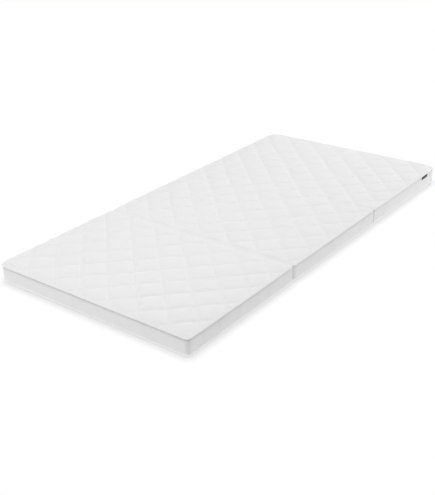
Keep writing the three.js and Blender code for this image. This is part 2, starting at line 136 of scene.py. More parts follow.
class MattressCover(bpy.types.PropertyGroup):
    """The sizes of the borders, seams and folds."""

    near_left_radius: bpy.props.FloatProperty(
        name="Near left corner", description="Corner radius at the near end, on the side with the zips",
        default=27 * MM, unit="LENGTH")
    near_right_radius: bpy.props.FloatProperty(
        name="Near right corner", description="Corner radius at the near end, on the other side",
        default=11 * MM, unit="LENGTH")
    near_fold_radius: bpy.props.FloatProperty(
        name="Near fold corners", description="Corner radius beside the near fold",
        default=10 * MM, unit="LENGTH")
    far_fold_radius: bpy.props.FloatProperty(
        name="Far fold corners", description="Corner radius beside the far fold",
        default=7 * MM, unit="LENGTH")
    far_end_radius: bpy.props.FloatProperty(
        name="Far end corners", description="Corner radius at the far end",
        default=34 * MM, unit="LENGTH")
    least_radius: bpy.props.FloatProperty(
        name="Least radius", description="Corner radius of an outline drawn in past its own corners",
        default=0.8 * MM, unit="LENGTH")
    bottom_radius: bpy.props.FloatProperty(
        name="Bottom edge", description="Radius of the bottom edge", default=12 * MM, unit="LENGTH")
    flange: bpy.props.FloatProperty(
        name="Flange", description="How far the border reaches under the foam past the bottom edge",
        default=3 * MM, unit="LENGTH")
    cloth: bpy.props.FloatProperty(
        name="Border cloth", description="Thickness of the border cloth with its lining",
        default=1.1 * MM, unit="LENGTH")
    roll: bpy.props.FloatProperty(
        name="Seam roll", description="Radius of the roll of cloth under the top seam",
        default=1.2 * MM, unit="LENGTH")
    slack: bpy.props.FloatProperty(
        name="Slack", description="Height of the border's long soft waves", default=0.5 * MM,
        unit="LENGTH")
    pucker: bpy.props.FloatProperty(
        name="Pucker", description="Height of the border's puckers beside its seams",
        default=0.22 * MM, unit="LENGTH")
    step: bpy.props.FloatProperty(
        name="Step", description="Distance between points round the border", default=3.5 * MM,
        unit="LENGTH")


class MattressZip(bpy.types.PropertyGroup):
    """The sizes of the zips' openings, teeth and stitching."""

    opening: bpy.props.FloatProperty(
        name="Opening", description="Half the height of the opening in the border",
        default=4.7 * MM, unit="LENGTH")
    tooth_pitch: bpy.props.FloatProperty(
        name="Tooth pitch", description="Distance between teeth on one side of the zip",
        default=1.5 * MM, unit="LENGTH")
    tooth_reach: bpy.props.FloatProperty(
        name="Tooth reach", description="How far a tooth reaches across the zip",
        default=2.6 * MM, unit="LENGTH")
    hem: bpy.props.FloatProperty(
        name="Hem", description="Distance of the topstitching from the zip's opening",
        default=2.6 * MM, unit="LENGTH")
    hem_raise: bpy.props.FloatProperty(
        name="Hem raise", description="How far the folded hem stands proud",
        default=0.35 * MM, unit="LENGTH")


class MattressColours(bpy.types.PropertyGroup):
    """The colours of the cloths."""

    quilt: bpy.props.FloatVectorProperty(
        name="Quilt", description="Knitted cotton of the top", subtype="COLOR", size=3,
        min=0, max=1, default=(0.86, 0.86, 0.86))
    border: bpy.props.FloatVectorProperty(
        name="Border", description="Woven cotton of the sides and the underside", subtype="COLOR",
        size=3, min=0, max=1, default=(0.83, 0.83, 0.83))
    thread: bpy.props.FloatVectorProperty(
        name="Thread", description="Sewing thread", subtype="COLOR", size=3, min=0, max=1,
        default=(0.84, 0.84, 0.84))
    label: bpy.props.FloatVectorProperty(
        name="Label", description="Satin ribbon of the bare label", subtype="COLOR", size=3,
        min=0, max=1, default=(0.012, 0.012, 0.013))
    foam: bpy.props.FloatVectorProperty(
        name="Foam", description="Foam of the cores", subtype="COLOR", size=3, min=0, max=1,
        default=(0.88, 0.84, 0.72))


class MattressStage(bpy.types.PropertyGroup):
    """The camera and the light."""

    eye: bpy.props.FloatVectorProperty(
        name="Camera place", description="Where the camera stands", size=3,
        default=(-1.6927, -1.2446, 0.9608), unit="LENGTH")
    azimuth: bpy.props.FloatProperty(
        name="Azimuth", description="Direction of view, turned from +X", subtype="ANGLE",
        default=math.radians(38.22))
    tilt: bpy.props.FloatProperty(
        name="Tilt", description="How far the camera looks down", subtype="ANGLE",
        default=math.radians(26.03))
    roll: bpy.props.FloatProperty(
        name="Roll", description="Turn of the camera about its line of view", subtype="ANGLE",
        default=math.radians(-1.755))
    lens: bpy.props.FloatProperty(
        name="Lens", description="Focal length in millimetres on a 36 mm sensor", default=60.65)
    ambient: bpy.props.FloatProperty(
        name="Ambient", description="Strength of the light from all round", default=0.12)
    # The floor's glow is painted light: the floor sends it up onto the mattress though it is no lamp.
    floor_glow: bpy.props.FloatProperty(
        name="Floor glow", description="Light that the evenly lit floor sends up", default=1.05)
    key: bpy.props.FloatProperty(
        name="Key", description="Power of the soft lamp high over the far end, in watts", default=26.5)
    fill: bpy.props.FloatProperty(
        name="Fill", description="Power of the soft lamp over the near end, in watts", default=35.5)
    side: bpy.props.FloatProperty(
        name="Side", description="Power of the soft lamp at the far right, in watts", default=18.5)
    front: bpy.props.FloatProperty(
        name="Front", description="Power of the soft lamp at the near left, in watts", default=8.5)


SETTINGS = {
    "quilt": MattressQuilt,
    "cover": MattressCover,
    "zip": MattressZip,
    "colours": MattressColours,
    "stage": MattressStage,
}


def settings(name):
    """The settings of one kind, as kept on the scene."""
    return getattr(bpy.context.scene, "mattress_" + name)


# Shader patterns written as formulas

class Value:
    """A number that a shader works out. Sums of values add the nodes that work them out."""

    def __init__(self, shader, socket):
        self.shader = shader
        self.socket = socket

    def _with(self, operation, *others):
        """The result of a math node for this value and others."""
        node = self.shader.node("ShaderNodeMath", {"operation": operation}, [self, *others])
        return Value(self.shader, node.outputs[0])

    def _from(self, operation, other):
        """The same with the other value first."""
        node = self.shader.node("ShaderNodeMath", {"operation": operation}, [other, self])
        return Value(self.shader, node.outputs[0])

    def __add__(self, other):
        return self._with("ADD", other)

    def __radd__(self, other):
        return self._from("ADD", other)

    def __sub__(self, other):
        return self._with("SUBTRACT", other)

    def __rsub__(self, other):
        return self._from("SUBTRACT", other)

    def __mul__(self, other):
        return self._with("MULTIPLY", other)

    def __rmul__(self, other):
        return self._from("MULTIPLY", other)

    def __truediv__(self, other):
        return self._with("DIVIDE", other)

    def __abs__(self):
        return self._with("ABSOLUTE")

    def sine(self):
        return self._with("SINE")

    def fraction(self):
        return self._with("FRACT")

    def maximum(self, other):
        return self._with("MAXIMUM", other)


class Shader:
    """A material's nodes, with the principled shader ready to use."""

    def __init__(self, name, colour, roughness):
        self.material = bpy.data.materials.new(name)
        self.material.use_nodes = True
        self.tree = self.material.node_tree
        self.surface = self.tree.nodes["Principled BSDF"]
        self.surface.inputs["Base Color"].default_value = (*colour, 1)
        self.surface.inputs["Roughness"].default_value = roughness
        self.surface.inputs["Specular IOR Level"].default_value = 0.25

    def node(self, kind, made_with=None, inputs=None):
        """A node of that kind. What it is made with is set first, then its sockets' values or links."""
        node = self.tree.nodes.new(kind)
        for key, setting in (made_with or {}).items():
            setattr(node, key, setting)
        pairs = inputs.items() if isinstance(inputs, dict) else enumerate(inputs or [])
        for key, given in pairs:
            if isinstance(given, Value):
                self.tree.links.new(given.socket, node.inputs[key])
            elif isinstance(given, bpy.types.NodeSocket):
                self.tree.links.new(given, node.inputs[key])
            else:
                node.inputs[key].default_value = given
        return node

    def cloth_place(self):
        """Where a point lies on its piece of cloth: metres along it and across it."""
        place = self.node("ShaderNodeUVMap", {"uv_map": "cloth"})
        split = self.node("ShaderNodeSeparateXYZ", None, [place.outputs[0]])
        return place.outputs[0], Value(self, split.outputs[0]), Value(self, split.outputs[1])

    def object_place(self):
        """Where a point lies in the shared frame, in metres."""
        return self.node("ShaderNodeTexCoord").outputs["Object"]

    def noise(self, place, size, detail=2.0, stretch=(1, 1, 1)):
        """Smooth noise from 0 to 1 with lumps of about that size."""
        mapped = self.node("ShaderNodeMapping", None, {"Vector": place, "Scale": stretch})
        given = {"Vector": mapped.outputs[0], "Scale": 1 / size, "Detail": detail}
        return Value(self, self.node("ShaderNodeTexNoise", None, given).outputs["Fac"])

    def cells(self, place, size):
        """Distance to the nearest point of a scatter, 0 at the point, in cells of about that size."""
        node = self.node("ShaderNodeTexVoronoi", None, {"Vector": place, "Scale": 1 / size})
        return Value(self, node.outputs["Distance"])

    def bump(self, height, depth):
        """Shapes the surface by a height from 0 to 1 that stands for that depth."""
        node = self.node("ShaderNodeBump", None, {"Height": height, "Distance": depth, "Strength": 1.0})
        self.tree.links.new(node.outputs[0], self.surface.inputs["Normal"])

    def tint(self, amount, dark, light):
        """Colours the surface between two colours by an amount from 0 to 1."""
        colours = {0: amount, 6: (*dark, 1), 7: (*light, 1)}
        node = self.node("ShaderNodeMix", {"data_type": "RGBA"}, colours)
        self.tree.links.new(node.outputs[2], self.surface.inputs["Base Color"])

    def roughen(self, amount, smooth, rough):
        """Varies the roughness between two values by an amount from 0 to 1."""
        level = smooth + (rough - smooth) * amount
        self.tree.links.new(level.socket, self.surface.inputs["Roughness"])


def shade(colour, share):
    """A colour made darker or lighter by a share."""
    return tuple(min(1.0, part * share) for part in colour)


def knitted_cotton(colours):
    """Fine jersey: columns of small V-shaped loops, slightly hairy."""
    shader = Shader("knitted_cotton", colours.quilt, 0.9)
    place, along, across = shader.cloth_place()
    column, course, slant = 1.5 * MM, 1.2 * MM, 1.2
    turn = abs((along / column).fraction() - 0.5)
    loop = ((across / course + turn * slant) * FULL_TURN).sine() * 0.5 + 0.5
    rib = abs((along * (math.pi / column)).sine())
    fluff = shader.noise(place, 0.7 * MM, 3)
    height = rib * (loop * 0.5 + 0.5) * 0.7 + fluff * 0.3
    shader.bump(height, 0.22 * MM)
    shader.tint(shader.noise(place, 30 * MM, 3), shade(colours.quilt, 0.985), colours.quilt)
    shader.roughen(fluff, 0.84, 0.96)
    shader.surface.inputs["Sheen Weight"].default_value = 0.12
    shader.surface.inputs["Sheen Roughness"].default_value = 0.5
    return shader.material


def woven_cotton(name, colour, thread=0.62 * MM, depth=0.12 * MM):
    """Plain weave: threads that cross over and under each other."""
    shader = Shader(name, colour, 0.88)
    place, along, across = shader.cloth_place()
    warp = (along * (math.pi / thread)).sine()
    weft = (across * (math.pi / thread)).sine()
    over = (warp * weft + 1) * 0.5
    slub = shader.noise(place, 2.5 * MM, 2, (1, 6, 1))
    height = abs(warp) * over + abs(weft) * (1 - over)
    shader.bump(height * 0.8 + slub * 0.2, depth)
    shader.tint(shader.noise(place, 22 * MM, 3), shade(colour, 0.98), colour)
    shader.roughen(height, 0.94, 0.8)
    shader.surface.inputs["Sheen Weight"].default_value = 0.08
    return shader.material


def sewing_thread(colours):
    """Spun polyester with a little gloss."""
    shader = Shader("sewing_thread", colours.thread, 0.55)
    place = shader.object_place()
    twist = shader.noise(place, 0.4 * MM, 1)
    shader.bump(twist, 0.06 * MM)
    # painted shade: the low spots of the twist are coloured darker
    shader.tint(twist, shade(colours.thread, 0.95), colours.thread)
    return shader.material


def satin_ribbon(colours):
    """Black satin with fine ribs across it and a soft gloss."""
    shader = Shader("satin_ribbon", colours.label, 0.4)
    place, _, across = shader.cloth_place()
    rib_pitch = 0.35 * MM
    rib = (across * (FULL_TURN / rib_pitch)).sine() * 0.5 + 0.5
    grain = shader.noise(place, 0.5 * MM, 2, (8, 1, 1))
    shader.bump(rib * 0.7 + grain * 0.3, 0.03 * MM)
    shader.roughen(grain, 0.34, 0.5)
    shader.tint(grain, colours.label, shade(colours.label, 1.7))
    return shader.material


def zip_tape_cloth(colours):
    """Herringbone tape."""
    shader = Shader("zip_tape_cloth", shade(colours.border, 1.03), 0.85)
    place, along, across = shader.cloth_place()
    stripe, twill_pitch = 2.4 * MM, 0.8 * MM
    slant = abs((across / stripe).fraction() - 0.5) * stripe
    twill = ((along + slant * 2) * (FULL_TURN / twill_pitch)).sine() * 0.5 + 0.5
    shader.bump(twill * 0.8 + shader.noise(place, 0.5 * MM) * 0.2, 0.12 * MM)
    # painted shade and highlight: the twill's grooves are coloured darker and its ridges lighter
    shader.tint(twill, shade(colours.border, 0.97), shade(colours.border, 1.04))
    return shader.material


def zip_nylon():
    """Moulded nylon of the teeth."""
    shader = Shader("zip_nylon", (0.86, 0.86, 0.85), 0.38)
    grain = shader.noise(shader.object_place(), 0.8 * MM, 2)
    shader.bump(grain, 0.02 * MM)
    shader.roughen(grain, 0.32, 0.46)
    return shader.material


def white_lacquer():
    """Cast metal under white lacquer, with slight orange peel."""
    shader = Shader("white_lacquer", (0.84, 0.84, 0.83), 0.3)
    place = shader.object_place()
    peel = shader.noise(place, 0.9 * MM, 2)
    shader.bump(peel, 0.03 * MM)
    shader.roughen(shader.noise(place, 3 * MM, 3), 0.24, 0.38)
    # painted shade: the dips of the orange peel are coloured darker
    shader.tint(peel, (0.82, 0.82, 0.81), (0.86, 0.86, 0.85))
    shader.surface.inputs["Coat Weight"].default_value = 0.4
    shader.surface.inputs["Coat Roughness"].default_value = 0.2
    return shader.material


def nonwoven(colours):
    """Bonded fibre cloth with its grid of pressed dots."""
    shader = Shader("nonwoven", shade(colours.quilt, 1.04), 0.95)
    place, along, across = shader.cloth_place()
    grid, pressed = FULL_TURN / (2.2 * MM), 0.5
    dot = (along * grid).sine() * (across * grid).sine()
    fibre = shader.noise(place, 0.8 * MM, 3, (1, 5, 1))
    shader.bump(1 - dot.maximum(pressed) + fibre * 0.3, 0.15 * MM)
    shader.tint(fibre, shade(colours.quilt, 0.98), shade(colours.quilt, 1.05))
    return shader.material


def fibre_wadding():
    """Loose polyester fibre."""
    shader = Shader("fibre_wadding", (0.92, 0.92, 0.92), 1.0)
    place = shader.object_place()
    fibre = shader.noise(place, 3 * MM, 4, (1, 4, 2))
    shader.bump(fibre, 0.8 * MM)
    shader.tint(fibre, (0.86, 0.86, 0.86), (0.95, 0.95, 0.95))
    return shader.material


def open_cell_foam(colours):
    """Foam with its small open cells."""
    shader = Shader("open_cell_foam", colours.foam, 0.95)
    place = shader.object_place()
    cell = shader.cells(place, 1.6 * MM)
    shader.bump(cell, 0.5 * MM)
    # painted shade: the cells' pits, low in the bump, are coloured darker
    shader.tint(cell, shade(colours.foam, 0.82), colours.foam)
    return shader.material


# Outlines and meshes

def spaced(stops, step):
    """Numbers from the first stop to the last, through every stop, no more than a step apart."""
    numbers = [stops[0]]
    for start, end in zip(stops, stops[1:]):
        count = max(1, math.ceil(abs(end - start) / step - 1e-9))
        numbers += [start + (end - start) * k / count for k in range(1, count + 1)]
    return numbers


class Outline:
    """Places round a panel, or round two panels that share one run of cloth, counter-clockwise. It can be
    drawn in by any inset and still has the same places.

    Each place is a row: the sharp corner that it belongs to, which way that corner points, the outward
    direction, the corner's radius, and how far along a straight side it lies, or -1 on a corner."""

    def __init__(self, places, panels):
        table = np.array(places, float)
        self.panels = panels
        self.corner, self.way, self.outward = table[:, :2], table[:, 2:4], table[:, 4:6]
        self.radius = table[:, 6]
        share = table[:, 7]
        on_corner = share < 0
        numbers = np.arange(len(table))
        self.share = np.where(on_corner, 0, share)[:, None]
        self.start = np.maximum.accumulate(np.where(on_corner, numbers, 0))
        after = np.where(on_corner, numbers, len(table))[::-1]
        self.end = np.minimum.accumulate(after)[::-1] % len(table)
        edge = self.loop(0)
        self.along = np.append(0, np.cumsum(np.linalg.norm(np.roll(edge, -1, 0) - edge, axis=1)))

    def __len__(self):
        return len(self.radius)

    def loop(self, inset, relief=0):
        """The places drawn in by an inset, and then moved outwards by the relief."""
        radius = np.maximum(self.radius - inset, settings("cover").least_radius)[:, None]
        points = self.corner - self.way * (inset + radius) + self.outward * radius
        start, end = points[self.start], points[self.end]
        return start + (end - start) * self.share + self.outward * np.reshape(relief, (-1, 1))

    def ring(self, inset, height, relief=0):
        """The same places at a height."""
        return np.column_stack([self.loop(inset, relief), np.full(len(self), height)])

    def inside(self, points):
        """How far points lie inside the outline, negative outside."""
        if len(self.panels) == 1:
            return panel_inside(self.panels[0], points, False)
        found = [panel_inside(panel, points, True) for panel in self.panels]
        return np.where(points[:, 0] > far_fold_x, found[1], found[0])


def panel_corners(panel):
    """A panel's sharp corners, the ways that they point and their radii, counter-clockwise."""
    cover = settings("cover")
    near_fold, far_fold, far_end = cover.near_fold_radius, cover.far_fold_radius, cover.far_end_radius
    radii = {
        "near": (near_fold, cover.near_left_radius, cover.near_right_radius, near_fold),
        "middle": (far_fold, near_fold, near_fold, far_fold),
        "far": (far_end, far_fold, far_fold, far_end),
    }[panel]
    low_x, high_x = low(panel + "_quilted_top", 0), high(panel + "_quilted_top", 0)
    places = [(high_x, half_width), (low_x, half_width), (low_x, -half_width), (high_x, -half_width)]
    ways = [(1, 1), (-1, 1), (-1, -1), (1, -1)]
    return list(zip(places, ways, radii))


def panel_inside(panel, points, joined):
    """How far points lie inside one panel. Where it is joined to the next one over the far fold, that
    side is no edge, except at its notches."""
    x, y = points.T
    beside = 2 * MM
    distance = half_width - np.abs(y)
    for corner, way, radius in panel_corners(panel)[:2]:
        reach = way[0] * (corner[0] - x)
        if joined and abs(corner[0] - far_fold_x) < beside:
            reach = np.hypot(x - far_fold_x, np.maximum(half_width - radius - np.abs(y), 0))
        distance = np.minimum(distance, reach)
    for corner, way, radius in panel_corners(panel):
        past_x = radius - way[0] * (corner[0] - x)
        past_y = radius - way[1] * (corner[1] - y)
        on_corner = (past_x > 0) & (past_y > 0)
        distance = np.where(on_corner, radius - np.hypot(past_x, past_y), distance)
    return distance


def outline_parts(panel, step, zip_stops=()):
    """The places of a panel's four corners and four sides, in turn. Zip stops are places in X that the
    side with the zip has to have."""
    corners = panel_corners(panel)
    parts = []
    for quarter, (corner, way, radius) in enumerate(corners):
        count = max(4, math.ceil(radius * math.pi / 2 / step))
        turns = [(quarter + k / count) * math.pi / 2 for k in range(count + 1)]
        parts.append([(*corner, *way, math.cos(t), math.sin(t), radius, -1) for t in turns])
        next_corner, _, next_radius = corners[(quarter + 1) % 4]
        length = math.dist(corner, next_corner) - radius - next_radius
        stops = [(corner[0] - radius - x) / length for x in zip_stops] if quarter == 0 else []
        shares = spaced([0, *sorted(stops), 1], step / length)[1:-1]
        out = (math.cos(turns[-1]), math.sin(turns[-1]))
        parts.append([(*corner, *way, *out, radius, share) for share in shares])
    return parts


def panel_outline(panel, step, zip_stops=()):
    """The outline of one panel."""
    places = [place for part in outline_parts(panel, step, zip_stops) for place in part]
    return Outline(places, [panel])


def long_outline(step):
    """The outline of the middle and far panels together, with a notch at each end of their fold."""
    middle, far = outline_parts("middle", step), outline_parts("far", step)
    notch_y = half_width - settings("cover").far_fold_radius
    upper = [(far_fold_x, notch_y, 0, 1, 0, 1, 0, -1)]
    lower = [(far_fold_x, -notch_y, 0, -1, 0, -1, 0, -1)]
    # parts go corner, side, corner, side, from the corner at high x and high y; each panel leaves out
    # its side at the fold
    parts = [*far[4:], *far[:3], upper, *middle[:7], lower]
    return Outline([place for part in parts for place in part], ["middle", "far"])


def placed(name, data):
    """A new object in the scene for a mesh, light or camera."""
    made = bpy.data.objects.new(name, data)
    bpy.context.scene.collection.objects.link(made)
    return made


def piece(name, vertices, faces, material, uvs=None, smooth=True):
    """A mesh object whose place is in its mesh. Uvs are pairs of metres on the cloth, by face corner."""
    mesh = bpy.data.meshes.new(name)
    mesh.from_pydata([tuple(v) for v in np.asarray(vertices, float)], [], [list(f) for f in faces])
    if uvs is not None:
        layer = mesh.uv_layers.new(name="cloth")
        layer.data.foreach_set("uv", np.asarray(uvs, np.float32).ravel())
    mesh.materials.append(material)
    mesh.validate()
    if smooth:
        mesh.shade_smooth()
    else:
        mesh.shade_flat()
    return placed(name, mesh)


def skin(rings, along, across, closed=False, skipped=None):
    """Quads between rings of points that close on themselves, with the uvs of their corners. Rings are
    an array of (ring, place, xyz). A skipped quad is left open."""
    count, places = rings.shape[:2]
    faces, uvs = [], []
    for band in range(count if closed else count - 1):
        upper = (band + 1) % count
        for k in range(places):
            if skipped is not None and skipped[band, k]:
                continue
            n = (k + 1) % places
            faces.append((band * places + k, band * places + n, upper * places + n, upper * places + k))
            v0, v1 = across[band], across[band + 1]
            uvs += [(along[k], v0), (along[k + 1], v0), (along[k + 1], v1), (along[k], v1)]
    return faces, uvs


def bands(stations, run, closed):
    """Quads between copies of one section, one copy at each station, with the uvs of their corners.
    The run is each point's place along the section."""
    size = len(run) - 1 if closed else len(run)
    faces, uvs = [], []
    for number, (here, there) in enumerate(zip(stations, stations[1:])):
        for k in range(len(run) - 1):
            a, b = number * size + k, number * size + (k + 1) % size
            faces.append((a, b, b + size, a + size))
            uvs += [(here, run[k]), (here, run[k + 1]), (there, run[k + 1]), (there, run[k])]
    return faces, uvs


def run_length(section):
    """How far each point of a section lies along it."""
    points = np.asarray(section, float)
    return np.append(0, np.cumsum(np.linalg.norm(np.diff(points, axis=0), axis=1)))


def filled(outline, inset, inner, margin):
    """Triangles that fill an outline drawn in by an inset, through the inner points that lie at least
    the margin inside it. The outline's points come first in the result."""
    loop = outline.loop(inset)
    inner = inner[outline.inside(inner) > inset + margin]
    points = np.vstack([loop, inner])
    count = len(loop)
    edges = [(k, (k + 1) % count) for k in range(count)]
    vectors = [Vector(p) for p in points]
    only_inside, tolerance = 1, 1e-7
    made, _, triangles, origins, _, _ = delaunay_2d_cdt(vectors, edges, [], only_inside, tolerance)
    if len(made) != len(points):
        raise RuntimeError("the cloth's points fell together while its face was being filled")
    source = np.array([o[0] for o in origins])
    return points, [tuple(source[list(t)]) for t in triangles]


WAVE_SPREAD = (0.7, 1.5)


def ripple(numbers, wavelength, seed, count=7):
    """A smooth wave between about -1 and 1, with lengths near the one given."""
    draw = np.random.default_rng(seed)
    lengths = wavelength * draw.uniform(*WAVE_SPREAD, count)
    shifts = draw.uniform(0, FULL_TURN, count)
    waves = [np.sin(FULL_TURN * numbers / length + shift) for length, shift in zip(lengths, shifts)]
    return sum(waves) / math.sqrt(count)


def ripple_field(points, wavelength, seed, count=9):
    """The same in two directions."""
    draw = np.random.default_rng(seed)
    total = 0
    for _ in range(count):
        turn, shift = draw.uniform(0, FULL_TURN, 2)
        along = points @ np.array([math.cos(turn), math.sin(turn)])
        length = wavelength * draw.uniform(*WAVE_SPREAD)
        total = total + np.sin(FULL_TURN * along / length + shift)
    return total / math.sqrt(count)


def smoothed(share):
    """A share kept between 0 and 1, with a soft start and end."""
    share = np.clip(share, 0, 1)
    return share * share * (3 - 2 * share)


def finer(grid, axis, factor):
    """A grid with that many times the steps along an axis, on smooth curves through its numbers."""
    grid = np.moveaxis(grid, axis, 0)
    padded = np.concatenate([grid[:1], grid, grid[-1:]])
    before, start, end, after = padded[:-3], padded[1:-2], padded[2:-1], padded[3:]
    result = np.empty((factor * (len(grid) - 1) + 1, *grid.shape[1:]))
    for k in range(factor):
        t = k / factor
        weights = (-t + 2 * t ** 2 - t ** 3, 2 - 5 * t ** 2 + 3 * t ** 3, t + 4 * t ** 2 - 3 * t ** 3,
                   t ** 3 - t ** 2)
        parts = (before, start, end, after)
        result[k:-1:factor] = sum(w * part for w, part in zip(weights, parts)) / 2
    result[-1] = grid[-1]
    return np.moveaxis(result, 0, axis)


# The quilting

class Quilting:
    """The heights of one run of quilted cloth, on a lattice turned like its stitch lines."""

    def __init__(self, name, outline, crossing, seed):
        quilt = settings("quilt")
        self.name, self.outline, self.crossing, self.seed = name, outline, np.array(crossing), seed
        self.steps = quilt.steps
        self.diamond = quilt.diamond
        loop = outline.loop(0)
        first, second = self.diamonds(loop)
        self.start = np.floor([first.min(), second.min()]).astype(int) - 1
        self.end = np.ceil([first.max(), second.max()]).astype(int) + 1
        self.puff = self.puffed()

    def wander(self, points):
        """How far the stitch lines wander from their places there, as [x, y]."""
        wave_length = 190 * MM
        waves = [ripple_field(points, wave_length, self.seed + 7 + k) for k in (0, 1)]
        return settings("quilt").wander * np.stack(waves, -1)

    def diamonds(self, points):
        """How many diamonds a point lies from the crossing, along each family of stitch lines."""
        x, y = (points + self.wander(points) - self.crossing).T
        return (x + y) / self.diamond, (x - y) / self.diamond

    def places(self, first, second):
        """Where points lie, given by their diamonds along the two families."""
        x = self.crossing[0] + (first + second) * self.diamond / 2
        y = self.crossing[1] + (first - second) * self.diamond / 2
        points = np.stack([x, y], -1)
        return points - self.wander(points)

    def lattice(self, steps):
        """The lattice's places, and how many steps each lies along the two families."""
        counts = (self.end - self.start) * steps + 1
        rows, columns = np.meshgrid(*(np.arange(n) for n in counts), indexing="ij")
        return self.places(rows / steps + self.start[0], columns / steps + self.start[1]), rows, columns

    def puffed(self):
        """How full the pads are on the fine lattice, from 0 at a stitch line to about 1."""
        _, rows, columns = self.lattice(self.steps)
        coarser = 3
        dome = self.simulated(self.steps // coarser)
        for axis in (0, 1):
            dome = finer(dome, axis, coarser)
        sewn = (rows % self.steps == 0) | (columns % self.steps == 0)
        return np.where(sewn, 0, np.clip(dome, 0, 1))

    def simulated(self, steps):
        """Blows up a flat cloth that is held along its stitch lines, and gives its heights."""
        places, rows, columns = self.lattice(steps)
        shape = rows.shape
        flat = places.reshape(-1, 2)
        reach = self.outline.inside(flat).reshape(shape) > -1.5 * self.diamond / steps
        index = np.arange(flat.shape[0]).reshape(shape)
        whole = reach[:-1, :-1] & reach[1:, :-1] & reach[1:, 1:] & reach[:-1, 1:]
        corners = [index[:-1, 1:], index[1:, 1:], index[1:, :-1], index[:-1, :-1]]
        faces = np.stack([c[whole] for c in corners], 1)
        used = np.unique(faces)
        renumber = np.full(flat.shape[0], -1)
        renumber[used] = np.arange(len(used))
        neighbours = np.bincount(renumber[faces].ravel(), minlength=len(used))
        sewn = ((rows % steps == 0) | (columns % steps == 0)).reshape(-1)[used] | (neighbours < 4)
        dome = np.abs(np.sin(math.pi * rows / steps) * np.sin(math.pi * columns / steps)).reshape(-1)[used]
        start_height, wave_length, frames = 0.5 * MM, 40 * MM, 24
        lift = start_height * dome * (1 + 0.5 * ripple_field(flat[used], wave_length, self.seed))
        vertices = np.column_stack([flat[used], np.where(sewn, 0, lift)])
        blown = piece(self.name + "_sim", vertices, renumber[faces], cloth("knitted_cotton"))
        held = blown.vertex_groups.new(name="held")
        held.add(np.flatnonzero(sewn).tolist(), 1.0, "REPLACE")
        modifier = blown.modifiers.new("puff", "CLOTH")
        sim = modifier.settings
        sim.quality = 5
        sim.mass = 0.05
        sim.tension_stiffness = sim.compression_stiffness = 5
        sim.shear_stiffness = 1
        sim.bending_stiffness = 0.5
        sim.vertex_group_mass = "held"
        sim.shrink_min = sim.shrink_max = -0.003
        sim.use_pressure = True
        sim.uniform_pressure_force = 60
        sim.effector_weights.gravity = 0
        modifier.collision_settings.use_collision = False
        scene = bpy.context.scene
        for number in range(1, frames + 1):
            scene.frame_set(number)
        posed = blown.evaluated_get(bpy.context.evaluated_depsgraph_get()).to_mesh()
        heights = np.array([v.co.z for v in posed.vertices])
        bpy.data.objects.remove(blown)
        scene.frame_set(1)
        print(f"{self.name}: {len(used)} points, pads {heights.max() / MM:.2f} mm high, "
              f"{heights.min() / MM:.2f} mm low")
        grid = np.zeros(flat.shape[0])
        grid[used] = heights / np.percentile(heights, 99.5)
        return grid.reshape(shape)

    def fullness(self, points):
        """The pads' fullness at any points."""
        first, second = self.diamonds(points)
        a = (first - self.start[0]) * self.steps
        b = (second - self.start[1]) * self.steps
        i = np.clip(np.floor(a).astype(int), 0, self.puff.shape[0] - 2)
        j = np.clip(np.floor(b).astype(int), 0, self.puff.shape[1] - 2)
        s, t = a - i, b - j
        grid = self.puff
        return ((1 - s) * (1 - t) * grid[i, j] + s * (1 - t) * grid[i + 1, j]
                + (1 - s) * t * grid[i, j + 1] + s * t * grid[i + 1, j + 1])

    def to_stitch(self, points):
        """How far points lie from the nearest stitch line of each family."""
        side = self.diamond / math.sqrt(2)
        return [np.abs(n - np.round(n)) * side for n in self.diamonds(points)]

    def heights(self, points, edge_distance):
        """The height of the cloth at points that lie that far in from its edges."""
        quilt = settings("quilt")
        top_room, level_width, blend = 0.15 * MM, 20 * MM, 0.5 * MM
        edge = quilt_bottom + quilt.edge_loft
        channel = edge - (quilt.edge_loft - quilt.channel_loft) * smoothed(edge_distance / level_width)
        rise = quilt_top - quilt_bottom - top_room - quilt.channel_loft
        fade = quilt.edge_share + (1 - quilt.edge_share) * smoothed(edge_distance / quilt.edge_fade)
        field = channel + rise * fade * self.fullness(points) + self.puckers(points)
        swell, swell_length = 0.12 * MM, 70 * MM
        field = field + swell * ripple_field(points, swell_length, self.seed + 5)
        shoulder_start, shoulder_end, shoulder_drop, shoulder_rise = 2.5 * MM, 17 * MM, 0.5 * MM, 1.2 * MM
        share = smoothed((edge_distance - shoulder_start) / (shoulder_end - shoulder_start))
        shoulder = edge - shoulder_drop + (rise + shoulder_rise) * share
        # the lower of the two, with a soft change from one to the other
        mixed = -blend * np.log(np.exp(-(field - edge) / blend) + np.exp(-(shoulder - edge) / blend))
        return np.minimum(edge + mixed - self.crease(points), quilt_top - 0.05 * MM)

    def puckers(self, points):
        """The small puckers beside the stitch lines, and the groove that their thread draws in."""
        quilt = settings("quilt")
        reach, pucker_length, line_shift = 4 * MM, 11 * MM, 40 * MM
        groove_width, groove_depth = 1.1 * MM, 0.3 * MM
        first, second = self.diamonds(points)
        side = self.diamond / math.sqrt(2)
        total = 0
        for family, (distance, run) in enumerate(zip(self.to_stitch(points), (second, first))):
            line = np.round((first, second)[family])
            wave = ripple(run * side + line_shift * line, pucker_length, self.seed + 10 * family)
            beside = np.exp(-distance / reach) - np.exp(-distance / groove_width)
            groove = groove_depth * np.exp(-(distance / groove_width) ** 2)
            total = total + quilt.pucker * beside * wave - groove
        return total

    def crease(self, points):
        """How deep the cloth is drawn in along the folds."""
        depth, near_width, far_width = 0.9 * MM, 12 * MM, 2.6 * MM
        soft = depth * np.exp(-((points[:, 0] - near_fold_x) / near_width) ** 2)
        if self.name == "near":
            return soft
        return soft + depth * np.exp(-((points[:, 0] - far_fold_x) / far_width) ** 2)


